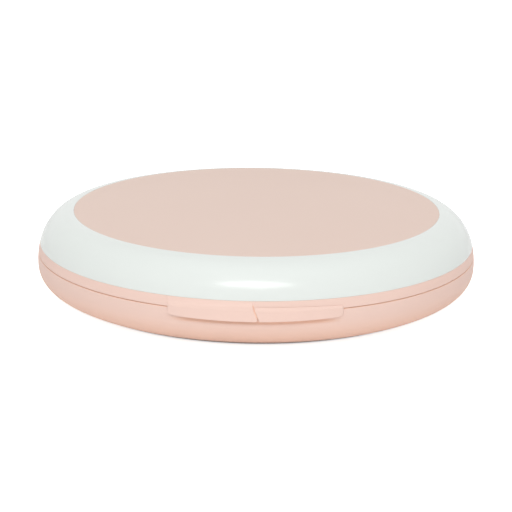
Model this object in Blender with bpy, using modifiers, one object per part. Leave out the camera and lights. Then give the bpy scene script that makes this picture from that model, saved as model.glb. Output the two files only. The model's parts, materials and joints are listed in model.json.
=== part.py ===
"""Round clamshell contact lens case, built as separate parts at real size.

Metres, +Z up. The origin is the centre of the flat underside, the thumb tabs
face -Y and the hinge is at +Y. The lid lies closed on the base.
"""
from math import acos, cos, pi, radians, sin, sqrt

import bmesh
import bpy
from mathutils import Matrix

MM = 0.001

# outer shape of the closed case
CASE_RADIUS = 56.0 * MM
WAIST_HEIGHT = 7.26 * MM
FOOT_RADIUS = 45.4 * MM
BELLY_EXPONENT = 2.33
DISC_RADIUS = 46.67 * MM
SHOULDER_HEIGHT = 19.86 * MM
CROWN_RISE = 0.5 * MM
SEAM_HEIGHT = 9.8 * MM
BAND_HEIGHT = 12.4 * MM

# walls and clearances
GAP = 0.3 * MM
FLOOR_THICKNESS = 1.5 * MM
LIP_INNER_RADIUS = 52.7 * MM
LIP_OUTER_RADIUS = 53.9 * MM
LIP_HEIGHT = 1.6 * MM
SNAP_DEPTH = 0.15 * MM
SNAP_DROP = 0.6 * MM
RING_THICKNESS = 1.6 * MM
CEILING_THICKNESS = 1.2 * MM
DOME_THICKNESS = 1.3 * MM
OVERLAP = 0.1 * MM
CUT_MARGIN = 1.0 * MM

# rounded corner inside the base, as inset from the lip and rise above the floor
BASE_CORNER = ((3.7 * MM, 0.0), (2.1 * MM, 0.7 * MM), (1.1 * MM, 2.1 * MM))

# radii of the crown's points as shares of the disc's radius
CROWN_SHARES = (0.0, 0.35, 0.7, 0.9, 1.0)

# push-apart thumb tabs at the front
TAB_HALF_ANGLE = radians(19.9)
TAB_LOW = 8.05 * MM
TAB_RIDGE = 10.7 * MM
LID_TAB_HIGH = 11.9 * MM
BASE_TAB_HIGH = 11.25 * MM
LID_TAB_ROOT = 1.1 * MM
BASE_TAB_ROOT = 1.5 * MM
TAB_UNDERCUT = 0.25 * MM
TAB_RIDGE_RADIUS = 56.75 * MM
TAB_LOW_RADIUS = 57.35 * MM
TAB_SPLIT_TOP = -0.55 * MM
TAB_SPLIT_RIDGE = -0.2 * MM
TAB_SPLIT_LOW = 0.6 * MM
TAB_SECTOR_INNER = 53.0 * MM
TAB_SECTOR_OUTER = 60.0 * MM
TAB_INNER_START = radians(3)
TAB_OUTER_START = radians(5)

# hinge at the back
HINGE_Y = 57.0 * MM
HINGE_Z = 8.6 * MM
BARREL_RADIUS = 2.3 * MM
PIN_RADIUS = 0.8 * MM
LID_KNUCKLE_HALF = 6.0 * MM
BASE_KNUCKLE_WIDTH = 9.0 * MM
KNUCKLE_STEP = 0.05 * MM
BASE_KNUCKLE_ARC = (radians(155), radians(-120))
LID_KNUCKLE_ARC = (radians(50), radians(-180))
LID_ARM = ((54.5 * MM, 10.25 * MM), (54.6 * MM, 11.7 * MM), (55.1 * MM, 11.9 * MM))
LID_ARM_NOTCH = 54.1 * MM

# mirror in the lid
MIRROR_RADIUS = 43.0 * MM
MIRROR_THICKNESS = 1.2 * MM
PAD_THICKNESS = 0.6 * MM
PAD_RADIUS = 40.0 * MM
BEZEL_WIDTH = 1.1 * MM
BEZEL_DROP = 1.9 * MM

# tray in the base
TRAY_RADIUS = 52.1 * MM
TRAY_TOP = 9.4 * MM
TRAY_THICKNESS = 1.2 * MM
POCKET_WALL = 1.0 * MM
POCKET_FLOOR = 0.8 * MM
POCKET_BOTTOM = 1.8 * MM
FINGER_BOTTOM = 3.2 * MM
FINGER_RADIUS = 8.5 * MM
FINGER_STEP = 2.0 * MM

# twin-well lens case
WELL_Y = -12.0 * MM
WELL_SPACING = 33.0 * MM
WELL_RADIUS = 10.3 * MM
NECK_RADIUS = 11.5 * MM
CASE_BOTTOM = 2.9 * MM
WELL_FLOOR = 3.8 * MM
WELL_BOWL = 2.4 * MM
WELL_FOOT = 0.7 * MM
NECK_TOP = 10.3 * MM
DECK_LOW = 4.9 * MM
DECK_HIGH = 6.2 * MM
DECK_WIDTH = 31.0 * MM
POCKET_CLEARANCE = 0.7 * MM
CAP_RADIUS = 13.9 * MM
CAP_RIB_DEPTH = 0.25 * MM
CAP_RIB_COUNT = 20
CAP_EDGE = 0.5 * MM
CAP_EDGE_ANGLE = radians(60)
CAP_LOW = 6.5 * MM
CAP_TOP = 12.8 * MM
CAP_CEILING = 11.5 * MM
CAP_BORE_RADIUS = 12.2 * MM
SEAL_RADIUS = 11.9 * MM

# screw thread of the caps
THREAD_LEAD = 4.0 * MM
THREAD_STARTS = 2
THREAD_TURNS = 0.42
THREAD_ROOT = 0.05 * MM
NECK_THREAD_LOW = 8.0 * MM
NECK_THREAD_HALF = 0.5 * MM
CAP_THREAD_DROP = 0.85 * MM
CAP_THREAD_HALF = 0.55 * MM

# soft-tipped tweezers, lying on edge in their slot
TWEEZER_X = -25.0 * MM
TWEEZER_Y = 16.5 * MM
TWEEZER_WELD = 9.0 * MM
TWEEZER_REACH = 59.0 * MM
BLADE_THICKNESS = 0.8 * MM
BLADE_LOW = 3.8 * MM
BLADE_HIGH = 7.0 * MM
BLADE_SPREAD = 0.135
BLADE_BOW = 0.8
TIP_START = 48.0 * MM
TIP_END = 62.5 * MM
TIP_HALF = 1.4 * MM
TIP_WALL = 0.6 * MM
TIP_BLUNTNESS = 5
TIP_FULLNESS = 0.3
TIP_CLOSED = 0.999
TWEEZER_SLOT_LENGTH = 79.0 * MM
TWEEZER_SLOT_WIDTH = 16.0 * MM

# lens lifter with a suction cup
LIFTER_X = -25.5 * MM
LIFTER_Y = 34.0 * MM
LIFTER_Z = 6.1 * MM
LIFTER_HANDLE = 40.0 * MM
LIFTER_PEG = 4.0 * MM
LIFTER_PEG_RADIUS = 1.1 * MM
LIFTER_LENGTH = 52.0 * MM
LIFTER_SLOT_LENGTH = 58.0 * MM
LIFTER_SLOT_WIDTH = 9.0 * MM
# radius and height of the handle's points from the peg to the end
HANDLE_SHAPE = ((1.9 * MM, 40.0 * MM), (2.1 * MM, 34.0 * MM), (1.5 * MM, 18.0 * MM),
                (2.2 * MM, 3.2 * MM), (1.5 * MM, 0.4 * MM), (0.0, 0.0))
# radius of the cup's points and their distance back from its mouth, inside first
CUP_SHAPE = ((0.0, 2.2 * MM), (1.7 * MM, 1.5 * MM), (2.9 * MM, 0.0),
             (3.2 * MM, 0.0), (3.0 * MM, 1.0 * MM), (1.6 * MM, 3.6 * MM))
CUP_NECK_RADIUS = 2.2 * MM
CUP_BORE_RADIUS = 1.4 * MM

# facets
SHELL_STEPS = 60
SMALL_STEPS = 36
PIN_STEPS = 20
SLOT_STEPS = 13
DECK_STEPS = 17
RECESS_STEPS = 28
THREAD_STEPS = 14
RIB_STEPS = 4
BLADE_STEPS = 18
TIP_STEPS = 15
SOCKET_STEPS = 6
WELD = 0.005 * MM
SHARP_ANGLE = radians(40)

# heights and rooms that follow from the sizes above
BASE_RIM = SEAM_HEIGHT - GAP / 2
LID_RIM = SEAM_HEIGHT + GAP / 2
LIP_TOP = BASE_RIM + LIP_HEIGHT
SNAP_HEIGHT = LIP_TOP - SNAP_DROP
CEILING_TOP = SHOULDER_HEIGHT - RING_THICKNESS - GAP
CEILING_LOW = CEILING_TOP - CEILING_THICKNESS
PIN_BORE = PIN_RADIUS + GAP
KNUCKLE_ROOM = BARREL_RADIUS + GAP
HINGE_LINE = (HINGE_Y, HINGE_Z)
ALONG_X = (pi / 2, 0.0, pi / 2)
SIDES = ((-1, "left"), (1, "right"))

# finishes as colour, roughness and metallic value
FINISHES = {
    "blush_satin": ((0.80, 0.57, 0.49), 0.42, 0.0),
    "blush_disc": ((0.76, 0.62, 0.55), 0.55, 0.0),
    "white_gloss": ((0.82, 0.87, 0.85), 0.12, 0.0),
    "white_satin": ((0.84, 0.83, 0.81), 0.40, 0.0),
    "mirror_silver": ((0.90, 0.91, 0.92), 0.03, 1.0),
    "foam_grey": ((0.55, 0.55, 0.55), 0.90, 0.0),
    "steel": ((0.62, 0.62, 0.63), 0.28, 1.0),
    "silicone": ((0.86, 0.85, 0.82), 0.50, 0.0),
}


def clear_scene():
    for old in list(bpy.data.objects):
        bpy.data.objects.remove(old, do_unlink=True)


def new_group(name):
    group = bpy.data.collections.new(name)
    bpy.context.scene.collection.children.link(group)
    return group


def new_finish(name):
    colour, roughness, metallic = FINISHES[name]
    finish = bpy.data.materials.new(name)
    finish.use_nodes = True
    shader = finish.node_tree.nodes["Principled BSDF"]
    shader.inputs["Base Color"].default_value = (*colour, 1.0)
    shader.inputs["Roughness"].default_value = roughness
    shader.inputs["Metallic"].default_value = metallic
    return finish


def adopt(name, group):
    """Name the primitive just added and move it to its collection."""
    thing = bpy.context.object
    thing.name = name
    for owner in list(thing.users_collection):
        owner.objects.unlink(thing)
    group.objects.link(thing)
    return thing


def turned(name, profile, group, steps=SHELL_STEPS):
    """Turn a profile of (radius, height) points about Z; its outer side runs downwards."""
    last = len(profile) - 1
    edges = [(i, i + 1) for i in range(last)]
    if profile[0][0] > 0.0:
        edges.append((last, 0))
    mesh = bpy.data.meshes.new(name)
    mesh.from_pydata([(r, 0.0, z) for r, z in profile], edges, [])
    thing = bpy.data.objects.new(name, mesh)
    group.objects.link(thing)
    screw = thing.modifiers.new("turn", "SCREW")
    screw.steps = steps
    screw.render_steps = steps
    screw.use_merge_vertices = True
    screw.merge_threshold = WELD
    return thing


def curve_to_mesh(curve_object, group):
    """Swap a curve for its welded mesh, so that it can be cut and joined."""
    bpy.context.view_layer.update()
    evaluated = curve_object.evaluated_get(bpy.context.evaluated_depsgraph_get())
    mesh = bpy.data.meshes.new_from_object(evaluated)
    body = bmesh.new()
    body.from_mesh(mesh)
    bmesh.ops.remove_doubles(body, verts=body.verts, dist=WELD)
    body.to_mesh(mesh)
    body.free()
    mesh.shade_smooth()
    mesh.set_sharp_from_angle(angle=SHARP_ANGLE)
    name = curve_object.name
    place = curve_object.matrix_world.copy()
    bpy.data.objects.remove(curve_object, do_unlink=True)
    thing = bpy.data.objects.new(name, mesh)
    thing.matrix_world = place
    group.objects.link(thing)
    return thing


def plate(name, outline, low, high, group, rotation=(0.0, 0.0, 0.0)):
    """Extrude a flat outline from low to high along its own normal, then rotate it."""
    curve = bpy.data.curves.new(name, "CURVE")
    curve.dimensions = "2D"
    curve.fill_mode = "BOTH"
    curve.extrude = (high - low) / 2
    spline = curve.splines.new("POLY")
    spline.points.add(len(outline) - 1)
    for point, (x, y) in zip(spline.points, outline):
        point.co = (x, y, 0.0, 1.0)
    spline.use_cyclic_u = True
    holder = bpy.data.objects.new(name, curve)
    turn = Matrix.Identity(4)
    for angle, axis in zip(rotation, "XYZ"):
        turn = Matrix.Rotation(angle, 4, axis) @ turn
    holder.matrix_world = turn @ Matrix.Translation((0.0, 0.0, (low + high) / 2))
    group.objects.link(holder)
    return curve_to_mesh(holder, group)


def ridge(name, points, half, group):
    """Sweep a four-sided bead along a list of points."""
    curve = bpy.data.curves.new(name, "CURVE")
    curve.dimensions = "3D"
    curve.twist_mode = "Z_UP"
    curve.bevel_depth = half
    curve.bevel_resolution = 0
    curve.use_fill_caps = True
    spline = curve.splines.new("POLY")
    spline.points.add(len(points) - 1)
    for point, place in zip(spline.points, points):
        point.co = (*place, 1.0)
    holder = bpy.data.objects.new(name, curve)
    group.objects.link(holder)
    return curve_to_mesh(holder, group)


def pin_along_x(name, radius, start, end, group):
    """A cylinder on the hinge line."""
    bpy.ops.mesh.primitive_cylinder_add(
        vertices=PIN_STEPS, radius=radius, depth=end - start,
        location=((start + end) / 2, HINGE_Y, HINGE_Z), rotation=(0.0, pi / 2, 0.0))
    return adopt(name, group)


def disc(name, radius, low, high, group, steps=SHELL_STEPS):
    bpy.ops.mesh.primitive_cylinder_add(
        vertices=steps, radius=radius, depth=high - low, location=(0.0, 0.0, (low + high) / 2))
    return adopt(name, group)


def boolean(target, operation, operand):
    """Cut target by operand or join them; the operand stays as a hidden guide."""
    operand.hide_render = True
    operand.display_type = "WIRE"
    step = target.modifiers.new(operand.name, "BOOLEAN")
    step.operation = operation
    step.solver = "EXACT"
    step.object = operand


def stand_on_well(thing, side):
    """Put a piece that was made round Z on the axis of one well."""
    thing.location.x = side * WELL_SPACING / 2
    thing.location.y = WELL_Y


def arc(centre, radius, start, end, count):
    """Points along an arc, both ends included."""
    points = []
    for i in range(count):
        angle = start + (end - start) * i / (count - 1)
        points.append((centre[0] + radius * cos(angle), centre[1] + radius * sin(angle)))
    return points


def slot_outline(centre, length, width, count=SLOT_STEPS):
    """A slot with round ends, along X."""
    reach = (length - width) / 2
    right = arc((centre[0] + reach, centre[1]), width / 2, -pi / 2, pi / 2, count)
    left = arc((centre[0] - reach, centre[1]), width / 2, pi / 2, 3 * pi / 2, count)
    return right + left


def circle_outline(centre, radius, count=RECESS_STEPS):
    return arc(centre, radius, 0.0, 2 * pi * (1 - 1 / count), count)


def belly_point(turn):
    """A point of the bowl's outside, turn running from the waist at 0 to the foot at 1."""
    angle = turn * pi / 2
    power = 2 / BELLY_EXPONENT
    radius = FOOT_RADIUS + (CASE_RADIUS - FOOT_RADIUS) * abs(cos(angle)) ** power
    height = WAIST_HEIGHT * (1 - sin(angle) ** power)
    return radius, height


def shoulder_radius(height, inset=0.0):
    """Radius of the shoulder's elliptical section at a height, inset from the outside."""
    wide = CASE_RADIUS - DISC_RADIUS - inset
    tall = SHOULDER_HEIGHT - WAIST_HEIGHT - inset
    level = min(1.0, (height - WAIST_HEIGHT) / tall)
    return DISC_RADIUS + wide * sqrt(1 - level ** 2)


def shoulder_line(high, low, count, inset=0.0):
    """Points down the shoulder from high to low, evenly spaced in angle."""
    tall = SHOULDER_HEIGHT - WAIST_HEIGHT - inset
    first = acos(min(1.0, (high - WAIST_HEIGHT) / tall))
    last = acos((low - WAIST_HEIGHT) / tall)
    line = []
    for i in range(count):
        height = WAIST_HEIGHT + tall * cos(first + (last - first) * i / (count - 1))
        line.append((shoulder_radius(height, inset), height))
    return line


def snap_line(radius):
    """The bead on the lip, or the groove that it clicks into, from the top down."""
    return [(radius, SNAP_HEIGHT + 2 * SNAP_DEPTH),
            (radius + SNAP_DEPTH, SNAP_HEIGHT),
            (radius, SNAP_HEIGHT - 2 * SNAP_DEPTH)]


def tab_sector(name, side, group):
    """Upright prism over one half of the front tab, side -1 for left and 1 for right.

    Its split face is upright too, so that the lid's half can rise past the base's half.
    On the tab's sloping front the split then shows as a slanting line.
    """
    flare = (TAB_SPLIT_LOW - TAB_SPLIT_RIDGE) / (TAB_LOW_RADIUS - TAB_RIDGE_RADIUS)
    split_end = TAB_SPLIT_LOW + flare * (TAB_SECTOR_OUTER - TAB_LOW_RADIUS)
    split = [(TAB_SPLIT_TOP, TAB_SECTOR_INNER),
             (TAB_SPLIT_TOP, shoulder_radius(LID_TAB_HIGH)),
             (TAB_SPLIT_RIDGE, TAB_RIDGE_RADIUS),
             (split_end, TAB_SECTOR_OUTER)]
    outline = [(x + side * GAP / 2, -sqrt(r ** 2 - x ** 2)) for x, r in split]
    front = -pi / 2
    end = front + side * TAB_HALF_ANGLE
    outline += arc((0.0, 0.0), TAB_SECTOR_OUTER, front + side * TAB_OUTER_START, end, 5)
    outline += arc((0.0, 0.0), TAB_SECTOR_INNER, end, front + side * TAB_INNER_START, 4)
    return plate(name, outline, TAB_LOW - CUT_MARGIN, LID_TAB_HIGH + CUT_MARGIN, group)


def make_thumb_tab(name, profile, side, group):
    tab = turned(name, profile, group)
    boolean(tab, "INTERSECT", tab_sector(name + "_sector", side, group))
    return tab


def make_base_shell(parts, guides):
    """Pink bowl with the lip that the lid closes over, one thumb tab and two hinge knuckles."""
    inside = [(0.0, FLOOR_THICKNESS)]
    for inset, rise in BASE_CORNER:
        inside.append((LIP_INNER_RADIUS - inset, FLOOR_THICKNESS + rise))
    inside.append((LIP_INNER_RADIUS, LIP_TOP))
    lip = [(LIP_OUTER_RADIUS, LIP_TOP)] + snap_line(LIP_OUTER_RADIUS)
    lip.append((LIP_OUTER_RADIUS, BASE_RIM))
    rim = shoulder_line(BASE_RIM, WAIST_HEIGHT, 3)
    belly = [belly_point(i / 8) for i in range(1, 9)]
    shell = turned("base_shell", inside + lip + rim + belly + [(0.0, 0.0)], parts)

    half = LID_KNUCKLE_HALF + GAP
    boolean(shell, "DIFFERENCE", pin_along_x("lid_knuckle_room", KNUCKLE_ROOM, -half, half, guides))
    arm_back = HINGE_Y + KNUCKLE_ROOM
    arm_top = LIP_TOP + CUT_MARGIN
    arm_room = [(LID_ARM_NOTCH, HINGE_Z), (arm_back, HINGE_Z),
                (arm_back, arm_top), (LID_ARM_NOTCH, arm_top)]
    boolean(shell, "DIFFERENCE", plate("lid_arm_room", arm_room, -half, half, guides, ALONG_X))

    web_front = LIP_INNER_RADIUS - OVERLAP
    knuckle = [(web_front, BASE_RIM - GAP)]
    knuckle += arc(HINGE_LINE, BARREL_RADIUS, *BASE_KNUCKLE_ARC, PIN_STEPS)
    knuckle.append((web_front, HINGE_Z - BARREL_RADIUS - OVERLAP))
    near = half + KNUCKLE_STEP
    for side, word in SIDES:
        start, end = sorted((side * near, side * (near + BASE_KNUCKLE_WIDTH)))
        boolean(shell, "UNION", plate("base_knuckle_" + word, knuckle, start, end, guides, ALONG_X))
    reach = half + BASE_KNUCKLE_WIDTH + CUT_MARGIN
    boolean(shell, "DIFFERENCE", pin_along_x("base_pin_bore", PIN_BORE, -reach, reach, guides))

    root = CASE_RADIUS - BASE_TAB_ROOT
    profile = [(shoulder_radius(BASE_TAB_HIGH) + GAP, BASE_TAB_HIGH),
               (TAB_RIDGE_RADIUS, TAB_RIDGE),
               (TAB_LOW_RADIUS, TAB_LOW),
               (root, TAB_LOW - TAB_UNDERCUT),
               (root, BASE_RIM - TAB_UNDERCUT),
               (shoulder_radius(BASE_RIM) + GAP, BASE_RIM - GAP / 2),
               (shoulder_radius(LID_RIM) + GAP, LID_RIM)]
    boolean(shell, "UNION", make_thumb_tab("base_thumb_tab", profile, 1, guides))
    return shell


def make_hinge_pin(parts):
    reach = LID_KNUCKLE_HALF + BASE_KNUCKLE_WIDTH
    return pin_along_x("hinge_pin", PIN_RADIUS, -reach, reach, parts)


def make_lid_frame(parts, guides):
    """Pink inner lid: rim band, dome, ceiling, mirror bezel, thumb tab and middle knuckle."""
    dome = shoulder_line(CEILING_TOP, BAND_HEIGHT - GAP / 2, 6, RING_THICKNESS + GAP)
    band = shoulder_line(BAND_HEIGHT - GAP / 2, LID_RIM, 3)
    skirt_radius = LIP_OUTER_RADIUS + GAP
    ledge = LIP_TOP + GAP
    skirt = [(skirt_radius, LID_RIM)] + snap_line(skirt_radius)[::-1] + [(skirt_radius, ledge)]
    inside = shoulder_line(CEILING_LOW, ledge, 5, RING_THICKNESS + GAP + DOME_THICKNESS)[::-1]
    bezel = MIRROR_RADIUS + GAP
    bezel_low = CEILING_LOW - BEZEL_DROP
    rib = [(bezel + BEZEL_WIDTH, CEILING_LOW), (bezel + BEZEL_WIDTH, bezel_low),
           (bezel, bezel_low), (bezel, CEILING_LOW)]
    profile = [(0.0, CEILING_TOP)] + dome + band + skirt + inside + rib + [(0.0, CEILING_LOW)]
    frame = turned("lid_frame", profile, parts)

    half = LID_KNUCKLE_HALF
    far = half + KNUCKLE_STEP + BASE_KNUCKLE_WIDTH + 2 * GAP
    for side, word in SIDES:
        start, end = sorted((side * half, side * far))
        boolean(frame, "DIFFERENCE",
                pin_along_x(word + "_knuckle_room", KNUCKLE_ROOM, start, end, guides))
    arm = arc(HINGE_LINE, BARREL_RADIUS, *LID_KNUCKLE_ARC, PIN_STEPS) + list(LID_ARM)
    boolean(frame, "UNION", plate("lid_knuckle", arm, -half, half, guides, ALONG_X))
    boolean(frame, "DIFFERENCE", pin_along_x("lid_pin_bore", PIN_BORE, -far, far, guides))

    root = CASE_RADIUS - LID_TAB_ROOT
    back = CASE_RADIUS + GAP
    profile = [(root, LID_TAB_HIGH),
               (shoulder_radius(LID_TAB_HIGH) - OVERLAP, LID_TAB_HIGH),
               (TAB_RIDGE_RADIUS, TAB_RIDGE),
               (TAB_LOW_RADIUS, TAB_LOW),
               (back, TAB_LOW),
               (back, LID_RIM),
               (root, LID_RIM + GAP)]
    boolean(frame, "UNION", make_thumb_tab("lid_thumb_tab", profile, -1, guides))
    return frame


def make_lid_cover_ring(parts):
    """Glossy white shoulder ring over the lid frame."""
    low = BAND_HEIGHT + GAP / 2
    outside = shoulder_line(SHOULDER_HEIGHT, low, 9)
    inside = shoulder_line(SHOULDER_HEIGHT - RING_THICKNESS, low, 6, RING_THICKNESS)
    return turned("lid_cover_ring", outside + inside[::-1], parts)


def make_lid_top_plate(parts):
    """Slightly crowned pink disc let into the ring."""
    edge = DISC_RADIUS - GAP
    crown = []
    for share in CROWN_SHARES:
        crown.append((edge * share, SHOULDER_HEIGHT + CROWN_RISE * (1 - share ** 2)))
    low = CEILING_TOP + GAP
    return turned("lid_top_plate", crown + [(edge, low), (0.0, low)], parts)


def make_mirror_pad(parts):
    top = CEILING_LOW - GAP
    return disc("mirror_pad", PAD_RADIUS, top - PAD_THICKNESS, top, parts)


def make_mirror(parts):
    """Round glass mirror, stuck under the lid's ceiling by its pad."""
    top = CEILING_LOW - PAD_THICKNESS - 2 * GAP
    return disc("mirror", MIRROR_RADIUS, top - MIRROR_THICKNESS, top, parts)


def tray_pockets(grow):
    """Name, outline and lowest point of every pocket, each side grown outwards."""
    lens_width = DECK_WIDTH + 2 * POCKET_CLEARANCE
    lens_slot = slot_outline(
        (0.0, WELL_Y), WELL_SPACING + lens_width + 2 * grow, lens_width + 2 * grow, DECK_STEPS)
    tweezer_slot = slot_outline(
        (TWEEZER_X + (TIP_END - TWEEZER_WELD) / 2, TWEEZER_Y),
        TWEEZER_SLOT_LENGTH + 2 * grow, TWEEZER_SLOT_WIDTH + 2 * grow)
    lifter_slot = slot_outline(
        (LIFTER_X + LIFTER_LENGTH / 2, LIFTER_Y),
        LIFTER_SLOT_LENGTH + 2 * grow, LIFTER_SLOT_WIDTH + 2 * grow)
    front_finger = circle_outline((0.0, WELL_Y - DECK_WIDTH / 2 - FINGER_STEP), FINGER_RADIUS + grow)
    back_finger = circle_outline((0.0, (TWEEZER_Y + LIFTER_Y) / 2), FINGER_RADIUS + grow)
    return (("lens_pocket", lens_slot, POCKET_BOTTOM),
            ("tweezer_pocket", tweezer_slot, POCKET_BOTTOM),
            ("lifter_pocket", lifter_slot, POCKET_BOTTOM),
            ("front_finger_pocket", front_finger, FINGER_BOTTOM),
            ("back_finger_pocket", back_finger, FINGER_BOTTOM))


def make_tray(parts, guides):
    """White insert: a deck with walled pockets that stand on the base's floor."""
    deck_low = TRAY_TOP - TRAY_THICKNESS
    tray = disc("tray", TRAY_RADIUS, deck_low, TRAY_TOP, parts)
    for name, outline, low in tray_pockets(POCKET_WALL):
        boolean(tray, "UNION", plate(name + "_wall", outline, low, deck_low + TRAY_THICKNESS / 2, guides))
    for name, outline, low in tray_pockets(0.0):
        boolean(tray, "DIFFERENCE",
                plate(name + "_room", outline, low + POCKET_FLOOR, TRAY_TOP + CUT_MARGIN, guides))
    return tray


def thread_points(radius, low, start_angle):
    """A stretch of right-handed helix round Z."""
    points = []
    for i in range(THREAD_STEPS + 1):
        turn = THREAD_TURNS * i / THREAD_STEPS
        angle = start_angle + 2 * pi * turn
        points.append((radius * cos(angle), radius * sin(angle), low + THREAD_LEAD * turn))
    return points


def add_thread(target, name, radius, half, low, side, guides):
    """Join the thread's starts to a neck or a cap that stands on one well."""
    for start in range(THREAD_STARTS):
        points = thread_points(radius, low, 2 * pi * start / THREAD_STARTS)
        bead = ridge(f"{name}_{start}", points, half, guides)
        stand_on_well(bead, side)
        boolean(target, "UNION", bead)


def make_lens_case_body(parts, guides):
    """Two round wells with threaded necks, joined by a flat deck."""
    outline = slot_outline((0.0, WELL_Y), WELL_SPACING + DECK_WIDTH, DECK_WIDTH, DECK_STEPS)
    body = plate("lens_case_body", outline, DECK_LOW, DECK_HIGH, parts)
    cup = [(0.0, WELL_FLOOR),
           (WELL_RADIUS - WELL_BOWL, WELL_FLOOR),
           (WELL_RADIUS - WELL_BOWL / 3, WELL_FLOOR + WELL_BOWL / 3),
           (WELL_RADIUS, WELL_FLOOR + WELL_BOWL),
           (WELL_RADIUS, NECK_TOP),
           (NECK_RADIUS, NECK_TOP),
           (NECK_RADIUS, CASE_BOTTOM + WELL_FOOT),
           (NECK_RADIUS - WELL_FOOT, CASE_BOTTOM),
           (0.0, CASE_BOTTOM)]
    middle = (WELL_RADIUS + NECK_RADIUS) / 2
    for side, word in SIDES:
        hole = disc(word + "_deck_hole", middle, DECK_LOW - CUT_MARGIN, DECK_HIGH + CUT_MARGIN,
                    guides, SMALL_STEPS)
        stand_on_well(hole, side)
        boolean(body, "DIFFERENCE", hole)
    for side, word in SIDES:
        neck = turned(word + "_neck", cup, guides, SMALL_STEPS)
        stand_on_well(neck, side)
        add_thread(neck, word + "_neck_thread", NECK_RADIUS - THREAD_ROOT, NECK_THREAD_HALF,
                   NECK_THREAD_LOW, side, guides)
        boolean(body, "UNION", neck)
    return body


def cap_outline():
    """A circle with shallow grip ribs."""
    count = RIB_STEPS * CAP_RIB_COUNT
    points = []
    for i in range(count):
        angle = 2 * pi * i / count
        radius = CAP_RADIUS + CAP_RIB_DEPTH * cos(CAP_RIB_COUNT * angle)
        points.append((radius * cos(angle), radius * sin(angle)))
    return points


def make_cap(side, word, parts, guides):
    """Screw cap with a ribbed grip; its origin is on the screw axis."""
    cap = plate(word + "_cap", cap_outline(), CAP_LOW, CAP_TOP, parts)
    stand_on_well(cap, side)
    edge = cap.modifiers.new("edge", "BEVEL")
    edge.width = CAP_EDGE
    edge.segments = 1
    edge.limit_method = "ANGLE"
    edge.angle_limit = CAP_EDGE_ANGLE
    low = CAP_LOW - CUT_MARGIN
    room = [(0.0, CAP_CEILING), (CAP_BORE_RADIUS, CAP_CEILING), (CAP_BORE_RADIUS, low), (0.0, low)]
    hollow = turned(word + "_cap_hollow", room, guides, SMALL_STEPS)
    stand_on_well(hollow, side)
    boolean(cap, "DIFFERENCE", hollow)
    add_thread(cap, word + "_cap_thread", CAP_BORE_RADIUS + THREAD_ROOT, CAP_THREAD_HALF,
               NECK_THREAD_LOW - CAP_THREAD_DROP, side, guides)
    return cap


def make_cap_seal(side, word, parts):
    seal = disc(word + "_cap_seal", SEAL_RADIUS, NECK_TOP + GAP, CAP_CEILING - GAP, parts, SMALL_STEPS)
    stand_on_well(seal, side)
    return seal


def blade_offset(along):
    """How far a blade's middle line stands from the tweezers' own, ahead of the weld."""
    ahead = max(0.0, along)
    return (GAP + BLADE_THICKNESS) / 2 + BLADE_SPREAD * ahead - BLADE_BOW * ahead ** 2


def blade_outline(side, start, end, half_width, count):
    """Outline of a strip along one blade; half_width is a function of the share along it."""
    outside = []
    inside = []
    for i in range(count):
        share = i / (count - 1)
        along = start + (end - start) * share
        offset = blade_offset(along)
        half = half_width(share)
        outside.append((TWEEZER_X + along, TWEEZER_Y + side * (offset + half)))
        inside.append((TWEEZER_X + along, TWEEZER_Y + side * (offset - half)))
    return outside + inside[::-1]


def make_tweezer_blade(side, word, parts):
    half = BLADE_THICKNESS / 2
    outline = blade_outline(side, -TWEEZER_WELD, TWEEZER_REACH, lambda share: half, BLADE_STEPS)
    return plate("tweezer_blade_" + word, outline, BLADE_LOW, BLADE_HIGH, parts)


def make_tweezer_tip(side, word, parts, guides):
    """Soft sleeve over a blade's end, with a socket for the blade."""
    def swell(share):
        end = min(TIP_CLOSED, abs(2 * share - 1) ** TIP_BLUNTNESS)
        return TIP_HALF * (1 - end) ** TIP_FULLNESS

    low = BLADE_LOW - GAP - TIP_WALL
    high = BLADE_HIGH + GAP + TIP_WALL
    outline = blade_outline(side, TIP_START, TIP_END, swell, TIP_STEPS)
    tip = plate("tweezer_tip_" + word, outline, low, high, parts)
    room = BLADE_THICKNESS / 2 + GAP
    socket = blade_outline(
        side, TIP_START - CUT_MARGIN, TWEEZER_REACH + GAP, lambda share: room, SOCKET_STEPS)
    boolean(tip, "DIFFERENCE",
            plate(word + "_tip_socket", socket, BLADE_LOW - GAP, BLADE_HIGH + GAP, guides))
    return tip


def lay_lifter(thing):
    """Lay a piece that was turned about Z along X in the lifter's slot."""
    thing.location = (LIFTER_X, LIFTER_Y, LIFTER_Z)
    thing.rotation_euler = (0.0, pi / 2, 0.0)
    return thing


def make_lifter_stick(parts):
    """Handle of the lens lifter, with a peg for the cup."""
    top = LIFTER_HANDLE + LIFTER_PEG
    peg = [(0.0, top), (LIFTER_PEG_RADIUS, top), (LIFTER_PEG_RADIUS, LIFTER_HANDLE)]
    return lay_lifter(turned("lifter_stick", peg + list(HANDLE_SHAPE), parts, PIN_STEPS))


def make_lifter_cup(parts):
    """Soft suction cup, pushed over the handle's peg."""
    low = LIFTER_HANDLE + GAP
    room = LIFTER_HANDLE + LIFTER_PEG + GAP
    profile = [(radius, LIFTER_LENGTH - back) for radius, back in CUP_SHAPE]
    profile += [(CUP_NECK_RADIUS, room), (CUP_NECK_RADIUS, low),
                (CUP_BORE_RADIUS, low), (CUP_BORE_RADIUS, room), (0.0, room)]
    return lay_lifter(turned("lifter_cup", profile, parts, PIN_STEPS))


def carry(name, place, things, group):
    """Parent things to an empty that stands on their joint's axis."""
    holder = bpy.data.objects.new(name, None)
    holder.location = place
    group.objects.link(holder)
    for thing in things:
        thing.parent = holder
        thing.matrix_parent_inverse = Matrix.Translation(place).inverted()


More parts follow.
